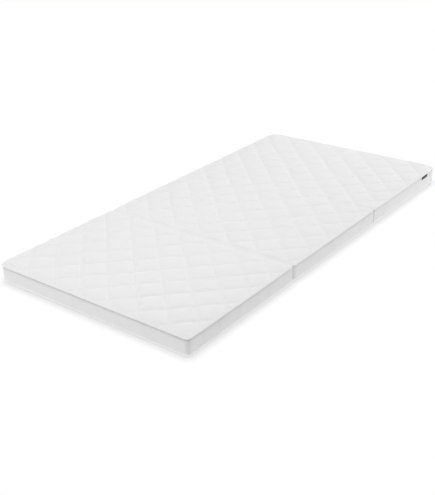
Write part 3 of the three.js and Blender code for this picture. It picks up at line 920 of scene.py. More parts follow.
def rolled_edge(quilting, turns, edge_width, back):
    """The rings of points round the cloth's rolled edge, from its back up to its face."""
    outline = quilting.outline
    waist = quilt_bottom + 0.9 * MM
    wave, wave_length, fold_reach = 0.22 * MM, 12 * MM, 0.27 * MM
    face_loop = outline.loop(edge_width)
    face_height = quilting.heights(face_loop, outline.inside(face_loop))
    ruffle = wave * ripple(outline.along[:-1], wave_length, quilting.seed + 3)
    beside_fold = np.abs(outline.loop(0)[:, 0] - near_fold_x) < MM
    ruffle = np.where(beside_fold, fold_reach, ruffle)
    rings = []
    for turn in turns:
        inset = edge_width * (1 - math.cos(turn))
        reach = waist - back if turn < 0 else face_height - waist
        rings.append(outline.ring(inset, waist + reach * math.sin(turn), ruffle * math.cos(turn)))
    rings.append(np.column_stack([face_loop, face_height]))
    return np.array(rings)


def back_places(quilting, edge_width):
    """Where the cloth's back has points: in columns beside the far fold, or else one in the middle."""
    if quilting.name == "near":
        return quilting.outline.loop(edge_width).mean(0)[None, :]
    columns = far_fold_x + np.linspace(-4, 4, 17) * MM
    return np.array([(x, y) for x in columns for y in np.linspace(-1, 1, 101) * half_width])


def quilted_cloth(quilting, name, material):
    """The quilted cloth as a closed body: a rolled edge, the quilted face and a flat back."""
    outline = quilting.outline
    edge_width, edge_height = 5.2 * MM, 2.2 * MM
    back = quilt_bottom - 0.25 * MM
    turns = np.radians([-90, -70, -50, -30, -12, 6, 24, 42, 60, 76])
    rings = rolled_edge(quilting, turns, edge_width, back)
    section = [(edge_width * (1 - math.cos(t)), edge_height * math.sin(t)) for t in turns]
    run = run_length([*section, (edge_width, edge_height)])
    faces, _ = skin(rings, outline.along, run)
    # the rolled edge takes its place on the cloth from its face, laid out flat
    places = np.array([outline.loop(edge_width - (run[-1] - r)) for r in run]).reshape(-1, 2)
    uvs = [places[v] for face in faces for v in face]
    loop_size = rings.shape[1]
    count = rings.shape[0] * loop_size
    lattice, _, _ = quilting.lattice(quilting.steps)
    spacing = quilting.diamond / math.sqrt(2) / quilting.steps
    points, triangles = filled(outline, edge_width, lattice.reshape(-1, 2), 0.6 * spacing)
    inner = points[loop_size:]
    face = np.column_stack([inner, quilting.heights(inner, outline.inside(inner))])
    for triangle in triangles:
        faces.append(tuple(count - loop_size + v for v in triangle))
        uvs += [points[v] for v in triangle]
    points, triangles = filled(outline, edge_width, back_places(quilting, edge_width), 1.2 * MM)
    back_inner = points[loop_size:]
    under = np.column_stack([back_inner, np.full(len(back_inner), back)])
    shift = count + len(inner) - loop_size
    for triangle in triangles:
        a, b, c = (v if v < loop_size else shift + v for v in triangle)
        faces.append((a, c, b))
        uvs += [points[triangle[k]] for k in (0, 2, 1)]
    return piece(name, np.vstack([rings.reshape(-1, 3), face, under]), faces, material, uvs)


def stitch_lines(quilting):
    """The quilting's stitch lines inside the seam, each as a run of points on the cloth."""
    lines = []
    spacing, margin, lift, fewest = 1.6 * MM, 3.5 * MM, 0.12 * MM, 4
    for family in (0, 1):
        other = 1 - family
        fine = np.arange(quilting.start[other], quilting.end[other],
                         spacing / (quilting.diamond / math.sqrt(2)))
        for number in range(quilting.start[family], quilting.end[family] + 1):
            pair = [None, None]
            pair[family], pair[other] = np.full(len(fine), float(number)), fine
            points = quilting.places(*pair)
            inside = quilting.outline.inside(points)
            kept = inside > margin
            runs = np.split(np.arange(len(points)), np.flatnonzero(np.diff(kept.astype(int))) + 1)
            for run in runs:
                if kept[run[0]] and len(run) >= fewest:
                    top = quilting.heights(points[run], inside[run]) + lift
                    lines.append(np.column_stack([points[run], top]))
    return lines


# Rows of small shapes, such as stitches and zip teeth

def bead_tree():
    """Sets small rounded beads along curves, a pitch apart and turned along them."""
    found = bpy.data.node_groups.get("bead_row")
    if found:
        return found
    tree = bpy.data.node_groups.new("bead_row", "GeometryNodeTree")
    sockets = tree.interface
    sockets.new_socket("Geometry", in_out="INPUT", socket_type="NodeSocketGeometry")
    for label, default in (("Pitch", 3 * MM), ("Length", 2 * MM), ("Width", MM), ("Height", MM)):
        socket = sockets.new_socket(label, in_out="INPUT", socket_type="NodeSocketFloat")
        socket.default_value = default
    sockets.new_socket("Up", in_out="INPUT", socket_type="NodeSocketVector")
    sockets.new_socket("Material", in_out="INPUT", socket_type="NodeSocketMaterial")
    sockets.new_socket("Geometry", in_out="OUTPUT", socket_type="NodeSocketGeometry")

    def add(kind, **made_with):
        node = tree.nodes.new(kind)
        for key, setting in made_with.items():
            setattr(node, key, setting)
        return node

    def link(source, target):
        tree.links.new(source, target)

    given, result = add("NodeGroupInput"), add("NodeGroupOutput")
    curve = add("GeometryNodeMeshToCurve")
    points = add("GeometryNodeCurveToPoints", mode="LENGTH")
    forward = add("FunctionNodeAlignRotationToVector", axis="Z")
    upward = add("FunctionNodeAlignRotationToVector", axis="X", pivot_axis="Z")
    bead = add("GeometryNodeMeshUVSphere")
    bead.inputs["Segments"].default_value = 6
    bead.inputs["Rings"].default_value = 4
    bead.inputs["Radius"].default_value = 0.5
    size = add("ShaderNodeCombineXYZ")
    place = add("GeometryNodeInstanceOnPoints")
    real = add("GeometryNodeRealizeInstances")
    smooth = add("GeometryNodeSetShadeSmooth")
    dress = add("GeometryNodeSetMaterial")
    link(given.outputs["Geometry"], curve.inputs[0])
    link(curve.outputs[0], points.inputs["Curve"])
    link(given.outputs["Pitch"], points.inputs["Length"])
    link(points.outputs["Tangent"], forward.inputs["Vector"])
    link(forward.outputs[0], upward.inputs["Rotation"])
    link(given.outputs["Up"], upward.inputs["Vector"])
    link(given.outputs["Height"], size.inputs[0])
    link(given.outputs["Width"], size.inputs[1])
    link(given.outputs["Length"], size.inputs[2])
    link(points.outputs["Points"], place.inputs["Points"])
    link(bead.outputs["Mesh"], place.inputs["Instance"])
    link(upward.outputs[0], place.inputs["Rotation"])
    link(size.outputs[0], place.inputs["Scale"])
    link(place.outputs[0], real.inputs[0])
    link(real.outputs[0], smooth.inputs[0])
    link(smooth.outputs[0], dress.inputs["Geometry"])
    link(given.outputs["Material"], dress.inputs["Material"])
    link(dress.outputs[0], result.inputs[0])
    return tree


def bead_row(name, lines, pitch, length, width, height, material, up=(0, 0, 1)):
    """A plain mesh of beads along lines of points."""
    vertices, edges = [], []
    for line in lines:
        first = len(vertices)
        vertices += [tuple(p) for p in line]
        edges += [(first + k, first + k + 1) for k in range(len(line) - 1)]
    mesh = bpy.data.meshes.new(name + "_path")
    mesh.from_pydata(vertices, edges, [])
    path = placed(name + "_path", mesh)
    tree = bead_tree()
    modifier = path.modifiers.new("beads", "NODES")
    modifier.node_group = tree
    given = {"Pitch": pitch, "Length": length, "Width": width, "Height": height,
             "Up": up, "Material": material}
    for item in tree.interface.items_tree:
        if item.in_out == "INPUT" and item.name in given:
            modifier[item.identifier] = given[item.name]
    evaluated = path.evaluated_get(bpy.context.evaluated_depsgraph_get())
    made = bpy.data.meshes.new_from_object(evaluated)
    made.name = name
    bpy.data.objects.remove(path)
    return placed(name, made)


# The cover

def border_section():
    """The border's face from under the foam, round the bottom edge, up the side and over the roll under
    the top seam, as [inset, height] pairs."""
    cover = settings("cover")
    radius, roll = cover.bottom_radius, cover.roll
    middle = (border_inset + radius, radius)
    section = [(middle[0] + cover.flange, 0.0), (middle[0] + cover.flange / 2, 0.0)]
    for turn in np.radians(np.linspace(-90, 0, 10)):
        section.append((middle[0] - radius * math.cos(turn), middle[1] + radius * math.sin(turn)))
    window = settings("zip").opening
    rows = [zip_height + window * math.sin(t) for t in np.linspace(-math.pi / 2, math.pi / 2, 9)]
    row_step = 3 * MM
    low_rows = spaced([radius, rows[0]], row_step)[1:-1]
    roll_bottom = border_top - 2.6 * roll
    high_rows = spaced([rows[-1], roll_bottom], row_step)[1:]
    section += [(border_inset, z) for z in [*low_rows, *rows, *high_rows]]
    top = (border_inset + roll, border_top - roll)
    section.append((border_inset + 0.35 * MM, border_top - 1.9 * roll))
    for turn in np.radians(np.linspace(-20, 150, 9)):
        section.append((top[0] - roll * math.cos(turn), top[1] + roll * math.sin(turn)))
    return np.array(section)


def border_relief(heights, along, seed):
    """How far the border's cloth stands out, for each row and place."""
    cover = settings("cover")
    bulge, long_wave, short_wave = 0.5 * MM, 110 * MM, 45 * MM
    top_wave, low_wave, low_height, fade = 9 * MM, 12 * MM, 4 * MM, 5 * MM
    z = heights[:, None]
    middle_share = np.sin(math.pi * np.clip(z / border_top, 0, 1))
    waves = ripple(along, long_wave, seed) + 0.6 * ripple(along, short_wave, seed + 1)
    slack = bulge + cover.slack * waves
    at_top, at_bottom = np.exp(-(border_top - z) / fade), np.exp(-np.abs(z - low_height) / fade)
    top_pucker = cover.pucker * ripple(along, top_wave, seed + 2) * at_top
    low_pucker = 0.7 * cover.pucker * ripple(along, low_wave, seed + 3) * at_bottom
    return slack[None, :] * middle_share + top_pucker + low_pucker


def zip_reach(panel):
    """The two ends in X of the straight part of a panel's zip opening."""
    spare = 0.3 * MM
    return low(panel + "_zip_open_stop", 0) - spare, high(panel + "_zip_closed_stop", 0) + spare


def side_border(panel, material, seed):
    """The border of a panel, with the opening for its zip."""
    cover, zips = settings("cover"), settings("zip")
    window = zips.opening
    start, end = zip_reach(panel)
    room = window + 2 * MM
    outline = panel_outline(panel, cover.step, (start - room, start, end, end + room))
    section = border_section()
    rows = section[:, 1]
    relief = border_relief(rows, outline.along[:-1], seed)
    loop = outline.loop(0)
    on_zip_side = outline.outward[:, 1] > 1 - 1e-9

    # the cloth lies calm round the opening and beside the folds, and its hem stands proud
    from_end = np.maximum(np.maximum(start - loop[:, 0], loop[:, 0] - end), 0)
    from_row = np.maximum(np.abs(rows - zip_height)[:, None] - window, 0)
    far_away = 1.0
    from_window = np.where(on_zip_side[None, :], np.hypot(from_row, from_end[None, :]), far_away)
    from_fold = np.minimum(np.abs(loop[:, 0] - near_fold_x), np.abs(loop[:, 0] - far_fold_x))
    hem = zips.hem_raise * (1 - smoothed((from_window - 1.4 * zips.hem) / (2 * MM)))
    calm = smoothed(from_window / (16 * MM)) * smoothed((from_fold - 2 * MM) / (14 * MM))
    relief = relief * calm + np.where(rows[:, None] > 8 * MM, hem, 0)
    rings = np.array([outline.ring(inset, z, out) for (inset, z), out in zip(section, relief)])

    # the round ends of the opening push the places beyond them along
    in_rows = np.abs(rows - zip_height) < window - 1e-6
    round_end = np.sqrt(np.maximum(window ** 2 - (rows - zip_height) ** 2, 0))
    for x, way in ((start, -1), (end, 1)):
        past = way * (loop[:, 0] - x)
        for column in np.flatnonzero(on_zip_side & (past > -1e-6) & (past < room)):
            rings[in_rows, column, 0] += way * round_end[in_rows] * (1 - past[column] / room)

    middle_height = (section[:-1, 1] + section[1:, 1]) / 2
    middle_x = (loop[:, 0] + np.roll(loop[:, 0], -1)) / 2
    row_open = np.abs(middle_height - zip_height) < window
    column_open = on_zip_side & np.roll(on_zip_side, -1) & (middle_x > start) & (middle_x < end)
    faces, uvs = skin(rings, outline.along, run_length(section), skipped=row_open[:, None] & column_open)
    used = np.unique(faces)
    renumber = np.zeros(rings.shape[0] * rings.shape[1], int)
    renumber[used] = np.arange(len(used))
    made = piece(panel + "_border_cloth", rings.reshape(-1, 3)[used], renumber[np.array(faces)],
                 material, uvs)
    solid = made.modifiers.new("cloth", "SOLIDIFY")
    solid.thickness = cover.cloth
    solid.offset = -1
    return made


def hem_path(panel):
    """The topstitching round a zip's opening, as one closed run of points on the border's face."""
    zips = settings("zip")
    start, end = zip_reach(panel)
    reach = zips.opening + zips.hem
    lift, step = 0.16 * MM, 2 * MM
    face = half_width - border_inset + zips.hem_raise + lift
    points = [(x, zip_height + reach) for x in spaced([start, end], step)]
    turns = np.linspace(math.pi / 2, -math.pi / 2, 10)[1:-1]
    points += [(end + reach * math.cos(t), zip_height + reach * math.sin(t)) for t in turns]
    points += [(x, zip_height - reach) for x in spaced([end, start], step)]
    points += [(start - reach * math.cos(t), zip_height + reach * math.sin(t)) for t in turns[::-1]]
    points.append(points[0])
    return np.array([(x, face, z) for x, z in points])


def seam_edge(panel, outline, material):
    """The turned-in edges of the two cloths in the recess of the top seam."""
    node = panel + "_top_seam"
    bottom, top = low(node, 2) - 0.2 * MM, high(node, 2) + 0.15 * MM
    inset = half_width - high(node, 1) - 0.6 * MM
    middle, lip, rounded, depth = (bottom + top) / 2, 0.3 * MM, 0.35 * MM, 2.2 * MM
    section = [(inset + rounded, bottom), (inset, bottom + lip), (inset + lip, middle),
               (inset, top - lip), (inset + rounded, top), (inset + depth, top), (inset + depth, bottom)]
    wave = 0.15 * MM * ripple(outline.along[:-1], 7 * MM, 31)
    rings = np.array([outline.ring(i, z, wave * (i < inset + MM)) for i, z in section])
    run = run_length(section + [section[0]])
    faces, uvs = skin(rings, outline.along, run, closed=True)
    return piece(panel + "_seam_edge", rings.reshape(-1, 3), faces, material, uvs)


def seam_path(panel, outline):
    """The line of the overlocking along the middle of the recess."""
    node = panel + "_top_seam"
    inset = half_width - high(node, 1) - 0.65 * MM
    z = (low(node, 2) + high(node, 2)) / 2
    return closed_run(outline.ring(inset, z))


def closed_run(points):
    """A run of points that ends where it starts."""
    return np.vstack([points, points[:1]])


def layer_of(name, outline, section, material, seed=None, wave=0.0):
    """A closed soft layer from a section of [inset, height] pairs that climbs on the outer side. Its
    upper face is slightly uneven where it is given a seed."""
    inner_step = 14 * MM
    rings = np.array([outline.ring(i, z) for i, z in section])
    faces, uvs = skin(rings, outline.along, run_length(section))
    vertices = [rings.reshape(-1, 3)]
    size = len(outline)
    for row, upwards in ((0, False), (len(section) - 1, True)):
        inset, height = section[row]
        loop = rings[row][:, :2]
        x = np.arange(loop[:, 0].min(), loop[:, 0].max(), inner_step)
        y = np.arange(loop[:, 1].min(), loop[:, 1].max(), inner_step)
        grid = np.stack(np.meshgrid(x, y), -1).reshape(-1, 2)
        points, triangles = filled(outline, inset, grid, inner_step / 3)
        inner = points[size:]
        lift = np.zeros(len(inner))
        if upwards and seed is not None:
            depth = smoothed((outline.inside(inner) - inset) / (20 * MM)) * wave
            lift = depth * (0.5 + 0.5 * ripple_field(inner, 60 * MM, seed + row))
        shift = sum(len(v) for v in vertices) - size
        vertices.append(np.column_stack([inner, height + lift]))
        order = (0, 1, 2) if upwards else (0, 2, 1)
        for triangle in triangles:
            ids = [row * size + v if v < size else shift + v for v in triangle]
            faces.append(tuple(ids[k] for k in order))
            uvs += [points[triangle[k]] for k in order]
    return piece(name, np.vstack(vertices), faces, material, uvs)


def rounding(inset, face, radius, way):
    """A rounded edge as [inset, height] pairs, from a face at that height to the layer's side. Way is 1
    over a lower face and -1 under an upper one."""
    turns = np.radians(np.linspace(-90, 0, 6))
    return [(inset + radius * (1 - math.cos(t)), face + way * radius * (1 + math.sin(t))) for t in turns]


def fold_web(name, section, half_length, material):
    """Cloth along a fold, from a closed section of [x, z] points, with its two ends closed."""
    ys = spaced([-half_length, half_length], 8 * MM)
    vertices = [(x, y, z) for y in ys for x, z in section]
    size = len(section)
    faces, uvs = bands(ys, run_length(section + [section[0]]), closed=True)
    # turned over, with the run along the section as the first of each uv's numbers
    faces = [face[::-1] for face in faces]
    uvs = [uvs[4 * number + k][::-1] for number in range(len(faces)) for k in (3, 2, 1, 0)]
    last = (len(ys) - 1) * size
    faces += [tuple(range(size)), tuple(last + k for k in reversed(range(size)))]
    uvs += [*section, *reversed(section)]
    web = piece(name, vertices, faces, material, uvs)
    web.data.set_sharp_from_angle(angle=math.radians(50))
    return web


def web_section(fold_x, foot_z, up, foot_half, foot_thickness, bend):
    """A channel of cloth across a fold: a foot and two walls. Up is the way that the walls stand."""
    outer_half, inner_half, wall_height, gap = 0.95 * MM, 0.35 * MM, 15 * MM, 0.1 * MM
    shoulder = foot_z + up * foot_thickness
    tip = shoulder + up * wall_height
    across = list(np.linspace(-bend, bend, 15))
    points = [(-foot_half, foot_z), *[(x, foot_z) for x in across], (foot_half, foot_z),
              (foot_half, shoulder), (outer_half, shoulder), (outer_half, tip), (inner_half, tip),
              (inner_half, shoulder + up * gap), *[(x, shoulder) for x in reversed(across)],
              (-inner_half, shoulder + up * gap), (-inner_half, tip), (-outer_half, tip),
              (-outer_half, shoulder), (-foot_half, shoulder)]
    ordered = points if up > 0 else points[::-1]
    return [(fold_x + x, z) for x, z in ordered]


def dressed_copy(name, node, material, bevel):
    """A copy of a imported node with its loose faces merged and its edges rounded."""
    work = bmesh.new()
    work.from_mesh(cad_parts[node].data)
    bmesh.ops.remove_doubles(work, verts=work.verts, dist=0.01 * MM)
    bmesh.ops.dissolve_limit(work, angle_limit=math.radians(2), verts=work.verts, edges=work.edges)
    mesh = bpy.data.meshes.new(name)
    work.to_mesh(mesh)
    work.free()
    mesh.materials.clear()
    mesh.materials.append(material)
    mesh.shade_smooth()
    made = placed(name, mesh)
    rounding = made.modifiers.new("rounding", "BEVEL")
    rounding.width = bevel
    rounding.segments = 2
    rounding.limit_method = "ANGLE"
    rounding.angle_limit = math.radians(28)
    rounding.harden_normals = True
    return made


# Operators, one for each group of pieces

def cloth(name):
    """One of the materials, by name."""
    return bpy.data.materials[name]


def fasten(made, body, slot, *nodes):
    """Makes a piece move with a body and stand for nodes. Its slot is not used."""
    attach(made, body)
    if nodes:
        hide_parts(*nodes)


class Dresser(bpy.types.Operator):
    """Shared by the operators that make pieces."""

    bl_options = {"REGISTER", "UNDO"}


class MATTRESS_OT_materials(Dresser):
    """Make the cloths, threads and finishes"""

    bl_idname = "mattress.materials"
    bl_label = "Make materials"

    def execute(self, context):
        colours = settings("colours")
        knitted_cotton(colours)
        woven_cotton("woven_border", colours.border)
        woven_cotton("woven_base", shade(colours.border, 0.99), 0.8 * MM)
        woven_cotton("seam_allowance", shade(colours.border, 0.95), 0.7 * MM)
        sewing_thread(colours)
        satin_ribbon(colours)
        zip_tape_cloth(colours)
        zip_nylon()
        white_lacquer()
        nonwoven(colours)
        fibre_wadding()
        open_cell_foam(colours)
        return {"FINISHED"}


class MATTRESS_OT_quilts(Dresser):
    """Sew the two runs of quilted cloth, with their stitches"""

    bl_idname = "mattress.quilts"
    bl_label = "Sew quilted tops"

    def execute(self, context):
        quilt = settings("quilt")
        step, bend = 3.2 * MM, 3.4 * MM
        near_middle = (low("near_quilted_top", 0) + high("near_quilted_top", 0)) / 2
        near_crossing = (near_middle + quilt.near_crossing[0], quilt.near_crossing[1])
        far_crossing = (far_fold_x + quilt.far_crossing[0], quilt.far_crossing[1])
        near = Quilting("near", panel_outline("near", step), near_crossing, 101)
        long = Quilting("long", long_outline(step), far_crossing, 202)
        for quilting in (near, long):
            name = quilting.name + "_quilt"
            top = quilted_cloth(quilting, name, cloth("knitted_cotton"))
            stitches = bead_row(name + "_stitches", stitch_lines(quilting), quilt.stitch_pitch,
                                0.8 * quilt.stitch_pitch, quilt.thread, quilt.thread,
                                cloth("sewing_thread"))
            for made in (top, stitches):
                if quilting is near:
                    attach(made, "near_panel")
                else:
                    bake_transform(made)
            if quilting is near:
                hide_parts("near_quilted_top")
            else:
                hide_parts("middle_quilted_top", "far_quilted_top")
        return {"FINISHED"}


class MATTRESS_OT_borders(Dresser):
    """Sew the side borders with the openings for their zips"""

    bl_idname = "mattress.borders"
    bl_label = "Sew side borders"

    def execute(self, context):
        quilt, cover = settings("quilt"), settings("cover")
        section_length = float(run_length(border_section())[-1])
        for number, panel in enumerate(PANELS):
            body = panel + "_panel"
            border = side_border(panel, cloth("woven_border"), 300 + 20 * number)
            fasten(border, body, "border_cloth", panel + "_side_border")
            around = float(panel_outline(panel, cover.step).along[-1])
            stitches = bead_row(panel + "_hem_stitches", [hem_path(panel)], 3 * MM, 2.4 * MM,
                                quilt.thread, quilt.thread, cloth("sewing_thread"), (0, 1, 0))
            fasten(stitches, body, "border_cloth")
        return {"FINISHED"}


class MATTRESS_OT_seams(Dresser):
    """Sew the recessed top seams with their overlocking"""

    bl_idname = "mattress.seams"
    bl_label = "Sew top seams"

    def execute(self, context):
        for panel in PANELS:
            body = panel + "_panel"
            outline = panel_outline(panel, settings("cover").step)
            edge = seam_edge(panel, outline, cloth("seam_allowance"))
            fasten(edge, body, "seam_cloth", panel + "_top_seam")
            threads = bead_row(panel + "_seam_threads", [seam_path(panel, outline)], 1.9 * MM,
                               0.4 * MM, 0.4 * MM, 1.15 * MM, cloth("sewing_thread"))
            fasten(threads, body, "seam_cloth")
        return {"FINISHED"}


class MATTRESS_OT_underside(Dresser):
    """Sew the base cloths"""

    bl_idname = "mattress.underside"
    bl_label = "Sew underside"

    def execute(self, context):
        quilt, cover = settings("quilt"), settings("cover")
        inset = border_inset + cover.bottom_radius + cover.flange + 0.1 * MM
        for number, panel in enumerate(PANELS):
            node, body = panel + "_base_cloth", panel + "_panel"
            outline = panel_outline(panel, 6 * MM)
            section = [(inset, 0.12 * MM), (inset, high(node, 2) * 0.8)]
            base = layer_of(panel + "_base", outline, section, cloth("woven_base"), 400 + number, 0.2 * MM)
            fasten(base, body, "base_cloth", node)
            path = closed_run(outline.ring(inset + 3 * MM, 0.22 * MM))
            stitches = bead_row(panel + "_base_stitches", [path], 3.4 * MM, 2.7 * MM, quilt.thread,
                                quilt.thread * 0.9, cloth("sewing_thread"))
            fasten(stitches, body, "base_cloth")
        return {"FINISHED"}


class MATTRESS_OT_fillings(Dresser):
    """Make the foam cores, the wadding and the quilt backing"""

    bl_idname = "mattress.fillings"
    bl_label = "Make fillings"

    def execute(self, context):
        for panel in PANELS:
            outline = panel_outline(panel, 6 * MM)
            for part, name, material, slot, fill, radius in (
                ("foam_core", "foam", "open_cell_foam", "foam", 1.0, 4 * MM),
                ("quilt_wadding", "wadding", "fibre_wadding", "wadding", 0.4, 0.9 * MM),
                ("quilt_backing", "backing", "nonwoven", "backing_cloth", None, 0.1 * MM),
            ):
                node = f"{panel}_{part}"
                inset = half_width - high(node, 1)
                under = border_inset + settings("cover").bottom_radius - inset
                low_edge = rounding(inset, low(node, 2), under if part == "foam_core" else radius, 1)
                high_edge = rounding(inset, high(node, 2), radius, -1)[::-1]
                made = layer_of(f"{panel}_{name}", outline, low_edge + high_edge, cloth(material))
                fasten(made, panel + "_panel", slot, node)
        return {"FINISHED"}


class MATTRESS_OT_folds(Dresser):
    """Sew the cloth that joins the panels at the two folds"""

    bl_idname = "mattress.folds"
    bl_label = "Sew folds"

    def execute(self, context):
        near, far = "near_fold_hinge_cloth", "far_fold_hinge_cloth"
        near_half, far_half = ((high(node, 0) - low(node, 0)) / 2 for node in (near, far))
        near_foot, far_foot, near_thickness, far_thickness = 0.05 * MM, high(far, 2), 0.95 * MM, 1.1 * MM
        bend = 0.3 * MM
        near_section = web_section(near_fold_x, near_foot, 1, near_half, near_thickness, bend)
        far_section = web_section(far_fold_x, far_foot, -1, far_half, far_thickness, bend)
        near_web = fold_web("near_fold_web", near_section, high(near, 1), cloth("woven_base"))
        far_web = fold_web("far_fold_web", far_section, high(far, 1), cloth("woven_border"))
        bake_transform(near_web)
        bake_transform(far_web)
        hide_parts(near)
        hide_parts(far)
        return {"FINISHED"}


class MATTRESS_OT_zips(Dresser):
    """Make the zips: woven tapes, nylon teeth, stops, sliders and pulls"""

    bl_idname = "mattress.zips"
    bl_label = "Make zips"

    def execute(self, context):
        for panel in PANELS:
            body = panel + "_panel"
            for side in ("upper", "lower"):
                tape = self.tape(f"{panel}_tape_{side}", f"{panel}_zip_tape_{side}")
                fasten(tape, body, "zip_tape", f"{panel}_zip_tape_{side}")
            teeth = self.teeth(panel + "_teeth", panel + "_zip_chain")
            fasten(teeth, body, "zip_nylon", panel + "_zip_chain")
            for name, node, carrier, bevel in (
                ("open_stop", "zip_open_stop", "panel", 0.35 * MM),
                ("closed_stop", "zip_closed_stop", "panel", 0.35 * MM),
                ("slider_body", "zip_slider", "slider", 0.3 * MM),
                ("pull_tab", "zip_pull", "pull", 0.25 * MM),
            ):
                made = dressed_copy(f"{panel}_{name}", f"{panel}_{node}", cloth("white_lacquer"), bevel)
                fasten(made, f"{panel}_{carrier}", "zip_metal", f"{panel}_{node}")
        return {"FINISHED"}

    def tape(self, name, node):
        """A woven tape just in front of the foam, long enough for the round ends of the opening."""
        (x0, y0, z0), (x1, y1, z1) = boxes[node]
        forward, spare, step = 0.3 * MM, 5 * MM, 10 * MM
        y0, y1 = y0 + forward, y1 + forward
        xs = spaced([x0 - spare, x1 + spare], step)
        section = [(y0, z0), (y1, z0), (y1, (z0 + z1) / 2), (y1, z1), (y0, z1)]
        vertices = [(x, y, z) for x in xs for y, z in section]
        size = len(section)
        faces, uvs = bands(xs, run_length(section + [section[0]]), closed=True)
        last = (len(xs) - 1) * size
        faces += [tuple(reversed(range(size))), tuple(last + k for k in range(size))]
        uvs += [*reversed(section), *section]
        return piece(name, vertices, faces, cloth("zip_tape_cloth"), uvs)

    def teeth(self, name, node):
        """Two rows of teeth that reach between each other."""
        zips = settings("zip")
        (x0, y0, _), (x1, y1, _) = boxes[node]
        middle_y, margin, overlap, step = (y0 + y1) / 2, 0.3 * MM, 0.45 * MM, 6 * MM
        drop = zips.tooth_reach / 2 - overlap
        lower = [(x, middle_y, zip_height - drop) for x in spaced([x0 + margin, x1 - margin], step)]
        start = x0 + zips.tooth_pitch / 2 + margin
        upper = [(x, middle_y, zip_height + drop) for x in spaced([start, x1 - margin], step)]
        return bead_row(name, [lower, upper], zips.tooth_pitch, 0.95 * MM, zips.tooth_reach,
                        y1 - y0, cloth("zip_nylon"), (0, 1, 0))


class MATTRESS_OT_label(Dresser):
    """Sew in the bare label"""

    bl_idname = "mattress.label"
    bl_label = "Sew label"

    def execute(self, context):
        (x0, _, z0), (x1, y1, z1) = boxes["bare_label"]
        z0, z1 = z0 + 0.7 * MM, z1 + 0.6 * MM
        face = -(half_width - border_inset) - 0.5 * MM
        radius, tuck, drape = 1.6 * MM, 0.2 * MM, 0.25 * MM
        middle = face + 0.1 * radius
        path = [(y1, z1 - tuck), (face + radius + 0.8 * MM, z1 - tuck)]
        path += [(middle + radius * math.cos(t), z1 - radius + radius * math.sin(t))
                 for t in np.radians(np.linspace(90, 175, 7))]
        path += [(face - drape * math.sin(math.pi * (z1 - z) / (z1 - z0)), z)
                 for z in spaced([z1 - radius, z0], 1.6 * MM)[1:]]
        run = run_length(path)
        xs = spaced([x0, x1], 3 * MM)
        wave = 0.12 * MM * ripple(np.array(xs), 18 * MM, 601)
        vertices = [(x, y - w * s / run[-1], z) for x, w in zip(xs, wave)
                    for (y, z), s in zip(path, run)]
        faces, uvs = bands(xs, run, closed=False)
        label = piece("ribbon_label", vertices, faces, cloth("satin_ribbon"), uvs)
        solid = label.modifiers.new("ribbon", "SOLIDIFY")
        solid.thickness = 0.5 * MM
        solid.offset = 0
        fasten(label, "far_panel", "label", "bare_label")
        return {"FINISHED"}


